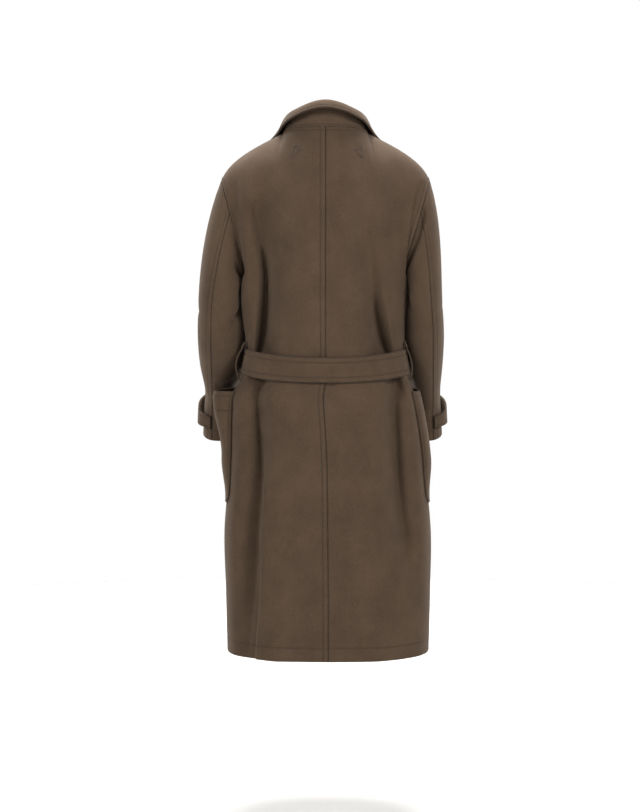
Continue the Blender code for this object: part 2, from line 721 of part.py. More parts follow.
def build():
    """All pieces of the coat."""
    for old in list(bpy.data.objects):
        bpy.data.objects.remove(old)
    bpy.context.scene.collection.children.link(COAT)
    for side, hand in ((1.0, "left"), (-1.0, "right")):
        build_side(side, hand)
    gorge_rows = ROWS[ROWS >= GORGE_ROW][::-1]
    fronts = COLLAR_SHOULDER + (1.0 - COLLAR_SHOULDER) * (1.0 - gorge_rows) / (1.0 - GORGE_ROW)
    half = np.concatenate((COLLAR_SHOULDER * NECK_COLUMNS / NECK_SHARE, fronts[1:]))
    stations = np.concatenate((-half[:0:-1], half))
    add_wall("collar", collar, shares(COLLAR_GRID), stations, 1.0, COLLAR_WALL)
    over_front = np.linspace(1.0, 3.0, BELT_FRONT_GRID)[1:-1]
    turns = SIDE_TURN * np.concatenate((-BACK_COLUMNS[:0:-1], BACK_COLUMNS, over_front))
    add_wall("belt_band", belt_band, shares(BELT_GRID), turns, 1.0, BELT_WALL, closed=True)
    add_knot()
    for index, hand in enumerate(("left", "right")):
        grid = map(shares, END_GRID)
        add_wall(f"belt_end_{hand}", partial(belt_end, index), *grid, 1.0, BELT_WALL)


build()
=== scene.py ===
"""Long belted wrap coat of heavy brown melton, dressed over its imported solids.

Every cut piece is a thin wall of cloth with round edges on its solid's form. Sizes are metres: +Z
is up, +X the wearer's left and +Y the back. The origin is the middle of the back neck seam.
"""

import json
import logging
from collections.abc import Callable, Iterable
from dataclasses import dataclass, field, replace
from enum import Enum
from functools import partial

import bpy
import numpy as np
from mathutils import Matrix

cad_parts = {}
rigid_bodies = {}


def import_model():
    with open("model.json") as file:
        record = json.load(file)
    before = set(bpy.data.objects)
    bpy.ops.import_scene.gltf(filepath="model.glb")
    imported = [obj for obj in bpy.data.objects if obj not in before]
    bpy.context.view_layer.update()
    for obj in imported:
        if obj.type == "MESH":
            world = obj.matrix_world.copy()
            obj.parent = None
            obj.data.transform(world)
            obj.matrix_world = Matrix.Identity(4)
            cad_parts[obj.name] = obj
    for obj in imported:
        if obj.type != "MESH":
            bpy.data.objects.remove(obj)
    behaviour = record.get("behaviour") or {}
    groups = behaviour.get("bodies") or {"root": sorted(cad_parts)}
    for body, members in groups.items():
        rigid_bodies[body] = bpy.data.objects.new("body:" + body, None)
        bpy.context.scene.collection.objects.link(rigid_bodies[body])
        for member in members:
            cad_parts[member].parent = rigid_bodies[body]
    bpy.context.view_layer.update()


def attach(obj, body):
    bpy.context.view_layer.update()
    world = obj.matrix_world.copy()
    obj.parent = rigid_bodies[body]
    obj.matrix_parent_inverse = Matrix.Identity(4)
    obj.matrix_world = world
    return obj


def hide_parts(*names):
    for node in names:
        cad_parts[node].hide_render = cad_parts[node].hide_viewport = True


LOG = logging.getLogger("wrap_coat")
Array = np.ndarray
Face = Callable[[Array, Array], Array]

BODY = "root"

# Metres: a layer of cloth, what a seam presses together, a difference's step, the least length
CLOTH = 0.003
PRESSED = 0.00015
STEP = 1e-4
TINY = 1e-12

# Rings of a rounded rim, and the spans of whole shares and of a whole panel's rows
RIM_RINGS = 3
WHOLE = (0.0, 1.0)
WHOLE_PANEL = (-1.0, 1.0)

UP = np.array((0.0, 0.0, 1.0))
ALONG_Y = np.array((0.0, 1.0, 0.0))
ALONG_X = np.array((1.0, 0.0, 0.0))


class Hand(Enum):
    """Side of the coat, with the sign of its X."""

    LEFT = 1.0
    RIGHT = -1.0

    @property
    def word(self) -> str:
        """Name of the side in a piece's name."""
        return self.name.lower()

    @property
    def mirror(self) -> Array:
        """Factors that bring a point of the left side to this side."""
        return np.array((self.value, 1.0, 1.0))

    def pick(self, pair: tuple[float, float]) -> float:
        """This side's value of a left and a right one."""
        return pair[list(Hand).index(self)]


class Hold(Enum):
    """How a sheet of cloth is held."""

    HUNG = "hung"
    FOLDED = "folded"
    STRETCHED = "stretched"


class Edge(Enum):
    """Edge of a cut piece's grid: first and last column, first and last row."""

    START = "start"
    END = "end"
    FOOT = "foot"
    TOP = "top"


def ease(share: Array) -> Array:
    """Smooth rise from 0 to 1: 3 s^2 - 2 s^3."""
    share = np.clip(share, 0.0, 1.0)
    return share * share * (3.0 - 2.0 * share)


def arch(share: Array, foot: float) -> Array:
    """Strip that lies flat at both ends and stands off between them."""
    return ease(share / foot) * ease((1.0 - share) / foot)


def unit(vectors: Array) -> Array:
    """Vectors of length one."""
    return vectors / np.maximum(np.linalg.norm(vectors, axis=-1, keepdims=True), TINY)


def point(x: Array, y: Array, z: Array) -> Array:
    """Points from their coordinates."""
    return np.stack(np.broadcast_arrays(x, y, z), axis=-1)


def signed_power(value: Array, power: float) -> Array:
    """Power that keeps the sign."""
    return np.sign(value) * np.abs(value) ** power


def hermite(start: Array, start_pull: Array, end: Array, end_pull: Array, share: Array) -> Array:
    """Cubic from start to end that leaves and arrives along the given pulls.

    Args:
        start: First point or value.
        start_pull: Slope at the start for a share from 0 to 1.
        end: Last point or value.
        end_pull: Slope at the end.
        share: Place along the cubic.

    Returns:
        Points or values at the shares.
    """
    t = np.asarray(share)
    rest = 1.0 - t
    return (
        (1.0 + 2.0 * t) * rest * rest * start
        + t * rest * rest * start_pull
        + t * t * (3.0 - 2.0 * t) * end
        - t * t * rest * end_pull
    )


def run_length(points: Array) -> Array:
    """Distance run along the first axis of a grid of points."""
    steps = np.linalg.norm(np.diff(points, axis=0), axis=-1)
    return np.concatenate((np.zeros_like(steps[:1]), np.cumsum(steps, axis=0)))


def normals(face: Face, across: Array, along: Array, out: float) -> Array:
    """Outward normals of a face: the cross product of its two central differences.

    Args:
        face: Points of the face at its two shares.
        across: First share.
        along: Second share.
        out: Sign that turns the normals outward.

    Returns:
        Unit normals at the shares.
    """
    over = face(across + STEP, along) - face(across - STEP, along)
    up = face(across, along + STEP) - face(across, along - STEP)
    return out * unit(np.cross(over, up))


class Table:
    """Short table with named columns and one row for each section, pull or fold."""

    def __init__(self, columns: str, *rows: tuple[float, ...]) -> None:
        """Keeps each column under its name."""
        self.columns: dict[str, Array] = dict(zip(columns.split(), np.array(rows, float).T))

    def __getitem__(self, name: str) -> Array:
        """One column."""
        return self.columns[name]

    def rows(self) -> Iterable[dict[str, float]]:
        """Rows with their columns' names."""
        return (dict(zip(self.columns, row)) for row in np.array(list(self.columns.values())).T)

    def curve(self, place: str, value: str, at: Array) -> Array:
        """Smooth curve through one column: cubics between the rows that share their slopes.

        Args:
            place: Column that says where each row stands.
            value: Column to read.
            at: Places to read it at.

        Returns:
            Values at those places.
        """
        places, values = self[place], self[value]
        slopes = np.gradient(values, places)
        i = np.clip(np.searchsorted(places, at) - 1, 0, len(places) - 2)
        span = places[i + 1] - places[i]
        share = np.clip((at - places[i]) / span, 0.0, 1.0)
        return hermite(values[i], span * slopes[i], values[i + 1], span * slopes[i + 1], share)

    def pull(self, hand: Hand, across: Array) -> Array:
        """Pull of a panel's columns, mirrored for the right side."""
        x, y, z = (self.curve("across", axis, across) for axis in "xyz")
        return point(hand.value * x, y, z)


@dataclass(frozen=True)
class Crease:
    """Soft trough or ridge along a line on the cloth.

    The push is depth * fade * exp(-(distance / width)^power). The distance is taken square to the
    line, the width is larger on one side by the lean, the fade is sin(pi * share)^ends along the
    line, and a power near one gives a sharp fold. A straight crease of the body goes in level from
    behind, and the others go in square to the cloth.
    """

    line: tuple[tuple[float, float], ...]
    width: float
    depth: float
    lean: float = 0.0
    power: float = 2.0
    ends: float = 0.6
    straight: bool = False

    def push(self, u: Array, v: Array, scale: tuple[float, float]) -> Array:
        """How far the cloth is pushed out, or in where it is negative.

        Args:
            u: First coordinate on the cloth.
            v: Second coordinate on the cloth.
            scale: Metres of one unit of each coordinate.

        Returns:
            Push in metres.
        """
        place = np.stack((u, v), axis=-1) * scale
        knots = np.array(self.line) * scale
        lengths = np.linalg.norm(np.diff(knots, axis=0), axis=1)
        nearest = np.full(u.shape, np.inf)
        signed, share, run = np.zeros(u.shape), np.zeros(u.shape), 0.0
        ways = np.diff(knots, axis=0) / lengths[:, None]
        for start, way, length in zip(knots[:-1], ways, lengths):
            offset = place - start
            along = np.clip(offset @ way, 0.0, length)
            distance = np.linalg.norm(offset - along[..., None] * way, axis=-1)
            turn = np.sign(way[0] * offset[..., 1] - way[1] * offset[..., 0])
            nearer = distance < nearest
            nearest = np.where(nearer, distance, nearest)
            signed = np.where(nearer, turn * distance, signed)
            share = np.where(nearer, (run + along) / lengths.sum(), share)
            run += length
        width = self.width * (1.0 + self.lean * np.sign(signed))
        fade = np.sin(np.pi * np.clip(share, 0.0, 1.0)) ** self.ends
        return self.depth * fade * np.exp(-((np.abs(signed) / width) ** self.power))


# Creases of the sleeves, as lines of the share round the sleeve and the share down it
SLEEVE_CREASES = {
    Hand.LEFT: (
        Crease(((-0.06, 0.54), (-0.06, 0.86)), 0.034, 0.022),
        Crease(((0.94, 0.54), (0.94, 0.86)), 0.034, 0.022),
        Crease(((0.05, 0.075), (0.13, 0.100), (0.22, 0.120)), 0.013, -0.009, 0.2),
        Crease(((-0.02, 0.35), (0.08, 0.385), (0.19, 0.43)), 0.011, -0.013, 0.3, 1.6),
        Crease(((0.02, 0.52), (0.12, 0.56)), 0.010, -0.004),
        Crease(((0.00, 0.640), (0.12, 0.658), (0.28, 0.675)), 0.022, -0.014),
        Crease(((0.06, 0.17), (0.08, 0.29), (0.07, 0.43)), 0.020, -0.008),
        Crease(((-0.05, 0.555), (0.025, 0.563), (0.10, 0.570)), 0.016, -0.005),
        Crease(((0.58, 0.50), (0.72, 0.57), (0.88, 0.55)), 0.012, -0.010, 0.3, 1.7),
        Crease(((0.62, 0.61), (0.76, 0.66), (0.84, 0.66)), 0.011, -0.008, -0.2),
        Crease(((0.46, 0.40), (0.60, 0.45), (0.70, 0.45)), 0.014, -0.007),
    ),
    Hand.RIGHT: (
        Crease(((-0.06, 0.54), (-0.06, 0.86)), 0.034, 0.022),
        Crease(((0.94, 0.54), (0.94, 0.86)), 0.034, 0.022),
        Crease(
            ((0.36, 0.035), (0.25, 0.032), (0.12, 0.032), (0.02, 0.06)), 0.015, -0.021, ends=0.4
        ),
        Crease(((-0.02, 0.31), (0.07, 0.33), (0.15, 0.38)), 0.010, -0.008, 0.3, 1.5),
        Crease(((0.06, 0.08), (0.08, 0.28), (0.06, 0.48)), 0.020, -0.008),
        Crease(((-0.05, 0.548), (0.03, 0.556), (0.11, 0.562)), 0.016, -0.005),
        Crease(((0.60, 0.48), (0.74, 0.56), (0.88, 0.55)), 0.012, -0.010, 0.3, 1.7),
        Crease(((0.64, 0.60), (0.78, 0.64), (0.84, 0.64)), 0.011, -0.008, -0.2),
        Crease(((0.48, 0.38), (0.61, 0.43), (0.70, 0.43)), 0.014, -0.006),
    ),
}

# Body sections below the underarm: a squared ellipse, deeper behind than in front
SECTIONS = Table(
    "height half_width back front shift",
    (-1.194, 0.232, 0.166, 0.160, -0.006),
    (-1.050, 0.235, 0.163, 0.158, -0.006),
    (-0.920, 0.237, 0.160, 0.156, -0.005),
    (-0.800, 0.227, 0.156, 0.152, -0.004),
    (-0.700, 0.220, 0.151, 0.147, -0.001),
    (-0.640, 0.214, 0.146, 0.142, 0.003),
    (-0.600, 0.207, 0.141, 0.137, 0.005),
    (-0.575, 0.1945, 0.1375, 0.1335, 0.001),
    (-0.545, 0.1855, 0.1352, 0.1312, 0.000),
    (-0.500, 0.177, 0.134, 0.130, 0.000),
    (-0.420, 0.175, 0.142, 0.134, 0.000),
    (-0.340, 0.176, 0.148, 0.138, 0.000),
)

# Largest folds. The solids have them too, and the first one is deeper there
FOLDS = Table(
    "turn_top turn_foot top peak foot width depth",
    (46.0, 50.0, -0.180, -0.470, -0.600, 8.0, -0.010),
    (76.0, 78.0, -0.190, -0.380, -0.505, 10.0, 0.010),
    (-24.0, -47.0, -0.230, -0.490, -0.600, 8.0, -0.012),
    (-76.0, -78.0, -0.170, -0.380, -0.505, 10.0, 0.006),
    (-100.0, -100.0, -0.200, -0.400, -0.510, 14.0, -0.007),
    (36.0, 42.0, -0.520, -0.800, -1.600, 8.0, -0.020),
    (24.0, 27.0, -0.600, -1.000, -1.700, 8.0, 0.007),
    (-50.0, -44.0, -0.520, -0.680, -1.300, 11.0, -0.011),
    (-20.0, -24.0, -0.600, -0.950, -1.700, 12.0, 0.005),
    (146.0, 147.0, -0.560, -0.950, -1.700, 6.0, -0.009),
    (-148.0, -156.0, -0.520, -0.900, -1.700, 10.0, -0.010),
)

# Smaller creases of the body, as lines of turn and height
BODY_CREASES = (
    # Left of the waist: a wide hollow, its dark core and the flat panel that hangs beside it
    Crease(
        ((61.0, -0.165), (54.5, -0.220), (51.5, -0.253), (48.5, -0.300), (47.0, -0.340))
        + ((49.0, -0.390), (52.5, -0.450), (56.0, -0.500), (59.0, -0.570)),
        *(0.042, -0.031, -0.50, 1.8, 0.6, True),
    ),
    Crease(
        ((50.0, -0.265), (47.5, -0.330), (49.5, -0.390))
        + ((53.0, -0.450), (56.5, -0.500), (59.5, -0.570)),
        *(0.022, -0.021, -0.45, 1.7, 0.5, True),
    ),
    Crease(
        ((62.0, -0.05), (72.0, -0.18), (78.0, -0.30), (78.0, -0.495)),
        *(0.032, 0.022, -0.3, 2.6, 0.7, True),
    ),
    # Left of the skirt: the hollow that leaves the belt, a ridge and the long trough beside it
    Crease(
        ((46.0, -0.53), (41.5, -0.586), (38.2, -0.62))
        + ((37.9, -0.652), (36.0, -0.72), (36.5, -0.80)),
        *(0.024, -0.028, 0.15),
        straight=True,
    ),
    Crease(
        ((36.0, -0.64), (34.3, -0.74), (33.3, -0.86), (33.2, -0.96))
        + ((34.8, -1.06), (38.0, -1.15), (43.0, -1.32)),
        *(0.016, 0.016, -0.5, 1.6),
    ),
    Crease(
        ((46.0, -0.48), (44.0, -0.70), (43.5, -0.79), (44.5, -0.96), (47.0, -1.05), (51.5, -1.21)),
        *(0.024, -0.024, 0.35),
    ),
    # Right of the waist and of the skirt
    Crease(
        ((-22.0, -0.170), (-24.8, -0.220), (-28.3, -0.287), (-31.5, -0.353))
        + ((-38.1, -0.420), (-46.4, -0.487), (-54.0, -0.560), (-60.0, -0.660)),
        *(0.036, -0.026, 0.30, 1.8, 0.8, True),
    ),
    Crease(
        ((-33.5, -0.37), (-38.1, -0.42), (-46.4, -0.487), (-53.0, -0.57)),
        *(0.018, -0.017, 0.3, 1.7, 0.8, True),
    ),
    Crease(
        ((-56.0, -0.530), (-49.2, -0.586), (-44.7, -0.620), (-43.0, -0.652))
        + ((-40.0, -0.719), (-39.3, -0.785), (-40.1, -0.874), (-45.0, -0.980)),
        *(0.027, -0.036),
        ends=0.5,
        straight=True,
    ),
    Crease(((-83.0, -0.12), (-85.0, -0.22), (-86.0, -0.32), (-86.0, -0.42)), 0.011, -0.014),
    Crease(((-74.0, -0.11), (-76.0, -0.25), (-77.0, -0.42)), 0.012, 0.004, 0.0, 1.6),
    Crease(((-19.0, -0.94), (-42.0, -1.12)), 0.020, -0.004),
    # Beside the centre seam, and the sides that hang against the sleeves
    Crease(((-1.5, -0.55), (-4.5, -0.68)), 0.011, -0.005),
    Crease(((4.5, -0.58), (2.5, -0.42)), 0.010, -0.004),
    Crease(((80.0, -0.33), (82.0, -0.42), (83.0, -0.497)), 0.017, 0.009, 0.0, 2.0, 0.35),
    Crease(((-80.0, -0.33), (-82.0, -0.42), (-83.0, -0.497)), 0.017, 0.006, 0.0, 2.0, 0.35),
    # Fronts
    Crease(((126.0, -0.31), (135.0, -0.41), (143.0, -0.51)), 0.015, -0.008, 0.2),
    Crease(((112.0, -0.35), (118.0, -0.43), (122.0, -0.51)), 0.014, -0.006),
    Crease(((-122.0, -0.29), (-133.0, -0.40), (-142.0, -0.51)), 0.016, -0.009, -0.2),
    Crease(((140.0, -0.54), (134.0, -0.67), (132.0, -0.86)), 0.016, -0.009, 0.2),
    Crease(((-141.0, -0.54), (-137.0, -0.64), (-136.0, -0.78)), 0.015, -0.008),
    Crease(((118.0, -0.60), (122.0, -0.85), (120.0, -1.15)), 0.018, -0.009),
    Crease(((-114.0, -0.62), (-119.0, -0.88), (-121.0, -1.30)), 0.020, -0.010),
)

# Pulls of the panels' cubics where they leave the underarm and where they reach their top
BACK_START = Table(
    "across x y z",
    (0.00, 0.000, 0.000, 0.340),
    (0.65, 0.000, 0.010, 0.330),
    (0.86, 0.004, 0.090, 0.230),
    (1.00, 0.010, 0.250, 0.060),
)
BACK_END = Table(
    "across x y z",
    (0.00, 0.000, -0.165, 0.250),
    (0.42, 0.000, -0.260, 0.040),
    (0.75, 0.010, -0.230, 0.030),
    (1.00, 0.020, -0.200, 0.050),
)
FRONT_START = Table(
    "across x y z",
    (0.00, 0.130, -0.020, 0.340),
    (0.40, 0.040, 0.000, 0.340),
    (0.80, 0.004, -0.070, 0.250),
    (1.00, 0.010, -0.250, 0.060),
)
FRONT_END = Table(
    "across x y z",
    (0.00, 0.000, 0.260, 0.040),
    (0.50, 0.010, 0.230, 0.030),
    (1.00, 0.020, 0.200, 0.050),
)


@dataclass(frozen=True)
class BodyForm:
    """Outside of the coat's body.

    Below the underarm it is a function of a turn in degrees, from centre back over the left side,
    and of a height. Each panel is a function of its own shares: across it, and a row from -1 at the
    hem over 0 at the underarm to 1 at its top.
    """

    hem: float = -1.194
    underarm: float = -0.340
    break_height: float = -0.455
    squareness: float = 2.5
    side_turn: float = 90.0
    front_middle: float = 180.0
    degree: float = 0.0033
    neck_half: float = 0.095
    neck_back: float = 0.078
    neck_side_y: float = -0.005
    neck_drop: float = -0.012
    neck_share: float = 0.42
    corner_window: float = 0.30
    corner_samples: int = 13
    corner_row: float = 0.60
    flat_row: float = 0.84
    shoulder_end: tuple[float, float, float] = (0.237, -0.004, -0.120)
    shoulder_pull: tuple[float, float, float] = (0.150, 0.000, -0.080)
    shoulder_end_pull: tuple[float, float, float] = (0.060, 0.000, -0.155)
    overlap: float = 0.100
    roll_lean: float = 0.330
    lift: float = 0.0055
    lapel_lift: float = 0.0100
    lift_turns: tuple[float, float] = (136.0, 160.0)
    lapel_lift_heights: tuple[float, float] = (-0.500, -0.420)
    wrap_row: float = 0.30

    @property
    def break_row(self) -> float:
        """Row of the lapel's break."""
        return (self.break_height - self.underarm) / (self.underarm - self.hem)

    def section(self, height: Array) -> tuple[Array, ...]:
        """Half width, back and front depths and sideways shift at a height."""
        columns = ("half_width", "back", "front", "shift")
        return tuple(SECTIONS.curve("height", column, height) for column in columns)

    def plain(self, turn: Array, height: Array) -> Array:
        """Section without folds: half widths times signed powers of the turn's sine and cosine.

        Args:
            turn: Turn round the body in degrees.
            height: Height in metres.

        Returns:
            Points of the section.
        """
        angle = np.radians(turn)
        power = 2.0 / self.squareness
        half, back, front, shift = self.section(height)
        x = half * signed_power(np.sin(angle), power)
        y = np.where(np.cos(angle) > 0.0, back, front) * signed_power(np.cos(angle), power)
        return point(x + shift, y, height)

    def out(self, turn: Array, height: Array) -> Array:
        """Level direction square to the body: the gradient of its squared ellipse.

        Args:
            turn: Turn round the body in degrees.
            height: Height in metres.

        Returns:
            Unit vectors.
        """
        angle = np.radians(turn)
        power = 2.0 - 2.0 / self.squareness
        half, back, front, _ = self.section(height)
        x = signed_power(np.sin(angle), power) / half
        y = signed_power(np.cos(angle), power) / np.where(np.cos(angle) > 0.0, back, front)
        return unit(point(x, y, 0.0))

    def push(self, turn: Array, height: Array) -> Array:
        """Folds: bell curves across each fold's line, faded in and out along it, and the creases.

        Args:
            turn: Turn round the body in degrees.
            height: Height in metres.

        Returns:
            Push in metres, square to the body.
        """
        push = np.zeros(np.broadcast(turn, height).shape)
        for fold in FOLDS.rows():
            share = np.clip((fold["top"] - height) / (fold["top"] - fold["foot"]), 0.0, 1.0)
            middle = fold["turn_top"] + (fold["turn_foot"] - fold["turn_top"]) * share
            fade_in = ease((fold["top"] - height) / (fold["top"] - fold["peak"]))
            fade_out = ease((height - fold["foot"]) / (fold["peak"] - fold["foot"]))
            profile = np.exp(-(((turn - middle) / fold["width"]) ** 2))
            push = push + fold["depth"] * fade_in * fade_out * profile
        return push + self.creased(turn, height, False)

    def creased(self, turn: Array, height: Array, straight: bool) -> Array:
        """Push of the straight creases, or of the others.

        Args:
            turn: Turn round the body in degrees.
            height: Height in metres.
            straight: Whether the straight creases are meant.

        Returns:
            Push in metres.
        """
        turn, height = np.broadcast_arrays(turn, height)
        kept = (crease for crease in BODY_CREASES if crease.straight is straight)
        return sum(crease.push(turn, height, (self.degree, 1.0)) for crease in kept)

    def fold(self, turn: Array, height: Array, off: Array | float = 0.0) -> Array:
        """Move of the cloth by its folds and by a distance out."""
        level = self.creased(turn, height, True)[..., None] * ALONG_Y
        return self.out(turn, height) * (self.push(turn, height) + off)[..., None] + level

    def skin(self, turn: Array, height: Array, off: Array | float = 0.0) -> Array:
        """Section with its folds, moved out by a distance."""
        return self.plain(turn, height) + self.fold(turn, height, off)

    def front_turn(self, x: Array, height: Array) -> Array:
        """Turn of the front point at a distance from the middle.

        Args:
            x: Distance from the middle in metres.
            height: Height in metres.

        Returns:
            Turns in degrees.
        """
        half, _, _, shift = self.section(height)
        sine = signed_power((x - shift) / half, self.squareness / 2.0)
        return self.front_middle - np.degrees(np.arcsin(sine))

    def row_height(self, row: Array) -> Array:
        """Height of a row below the underarm."""
        return self.underarm + (self.underarm - self.hem) * np.minimum(row, 0.0)

    def neck(self, hand: Hand, share: Array) -> Array:
        """Neck seam: a quarter ellipse from centre back to the shoulder, falling a little.

        Args:
            hand: Side of the coat.
            share: Share of the seam, from 0 to 1.

        Returns:
            Points of the seam.
        """
        angle = np.radians(90.0 * share)
        y = self.neck_side_y + (self.neck_back - self.neck_side_y) * np.cos(angle)
        return point(hand.value * self.neck_half * np.sin(angle), y, self.neck_drop * share * share)

    def shoulder(self, hand: Hand, share: Array) -> Array:
        """Shoulder seam: a cubic from the neck to the armhole.

        Args:
            hand: Side of the coat.
            share: Share of the seam, from 0 to 1.

        Returns:
            Points of the seam.
        """
        start = np.array((self.neck_half, self.neck_side_y, self.neck_drop))
        pulls = np.array(self.shoulder_pull), np.array(self.shoulder_end_pull)
        line = hermite(start, pulls[0], np.array(self.shoulder_end), pulls[1], share[..., None])
        return line * hand.mirror

    def back_top(self, hand: Hand, across: Array) -> Array:
        """Top of the back: the neck seam, then the shoulder seam.

        Args:
            hand: Side of the coat.
            across: Share across the piece.

        Returns:
            Points of the line.
        """
        on_neck = self.neck(hand, across / self.neck_share)
        on_shoulder = self.shoulder(hand, (across - self.neck_share) / (1.0 - self.neck_share))
        return np.where((across < self.neck_share)[..., None], on_neck, on_shoulder)

    def soft_top(self, hand: Hand, across: Array) -> Array:
        """Top of the back with its corner averaged out over a window.

        Args:
            hand: Side of the coat.
            across: Share across the piece.

        Returns:
            Points of the line.
        """
        window = np.clip(np.minimum(across, 1.0 - across), 0.0, self.corner_window)
        shifts = np.linspace(-1.0, 1.0, self.corner_samples)
        return sum(self.back_top(hand, across + window * shift) for shift in shifts) / len(shifts)

    def back(self, hand: Hand, across: Array, row: Array) -> Array:
        """Half of the back: sections to the underarm, then cubics to the top, where folds end.

        Args:
            hand: Side of the coat.
            across: Share from the centre seam to the side.
            row: Row of the panel, from -1 at the hem to 1 at its top.

        Returns:
            Points of the cloth's outside.
        """
        turn = hand.value * self.side_turn * across
        soft = self.soft_top(hand, across)
        level = self.plain(turn, np.full_like(turn, self.underarm))
        pulls = BACK_START.pull(hand, across), BACK_END.pull(hand, across)
        upper = hermite(level, pulls[0], soft, pulls[1], row[..., None])
        corner = ease((row - self.corner_row) / (1.0 - self.corner_row))[..., None]
        upper = upper + corner * (self.back_top(hand, across) - soft)
        plain = np.where((row < 0.0)[..., None], self.plain(turn, self.row_height(row)), upper)
        flat = ease((row - self.flat_row) / (1.0 - self.flat_row))[..., None]
        return plain + self.fold(turn, plain[..., 2]) * (1.0 - flat)

    def wrap_lift(self, turn: Array, height: Array) -> Array:
        """How far the left front stands off to lie over the right front and its lapel.

        Args:
            turn: Turn round the body in degrees.
            height: Height in metres.

        Returns:
            Distances in metres.
        """
        start, full = self.lift_turns
        low, high = self.lapel_lift_heights
        lift = self.lift + self.lapel_lift * ease((height - low) / (high - low))
        return lift * ease((turn - start) / (full - start))

    def edge_turn(self, height: Array) -> Array:
        """Turn of a front's free edge: upright below the break, then along the roll line."""
        rise = np.maximum(height - self.break_height, 0.0)
        return self.front_turn(-self.overlap + self.roll_lean * rise, height)

    def front(self, hand: Hand, across: Array, row: Array) -> Array:
        """One front: sections below the underarm, cubics from there up to the shoulder seam.

        Args:
            hand: Side of the coat.
            across: Share from the free edge to the side.
            row: Row of the panel, from -1 at the hem to 1 at its top.

        Returns:
            Points of the cloth's outside.
        """
        height = self.row_height(row)
        edge = self.edge_turn(height)
        turn = hand.value * (edge + (self.side_turn - edge) * across)
        level = self.plain(turn, height)
        pulls = FRONT_START.pull(hand, across), FRONT_END.pull(hand, across)
        share = np.maximum(row, 0.0)[..., None]
        upper = hermite(level, pulls[0], self.shoulder(hand, across), pulls[1], share)
        plain = np.where((row < 0.0)[..., None], level, upper)
        lift = np.zeros_like(turn)
        if hand is Hand.LEFT:
            settle = 1.0 - ease((row - self.wrap_row) / (1.0 - self.wrap_row))
            lift = self.wrap_lift(turn, plain[..., 2]) * settle
        push = self.push(turn, plain[..., 2]) + lift
        return plain + self.out(turn, height) * push[..., None]

    def armhole(self, hand: Hand, round_share: Array) -> Array:
        """Armhole from the underarm up the back to the shoulder and down the front.

        Args:
            hand: Side of the coat.
            round_share: Share round the armhole.

        Returns:
            Points of the seam.
        """
        one = np.ones_like(round_share)
        behind = self.back(hand, one, 2.0 * round_share)
        before = self.front(hand, one, 2.0 - 2.0 * round_share)
        return np.where((round_share < 0.5)[..., None], behind, before)


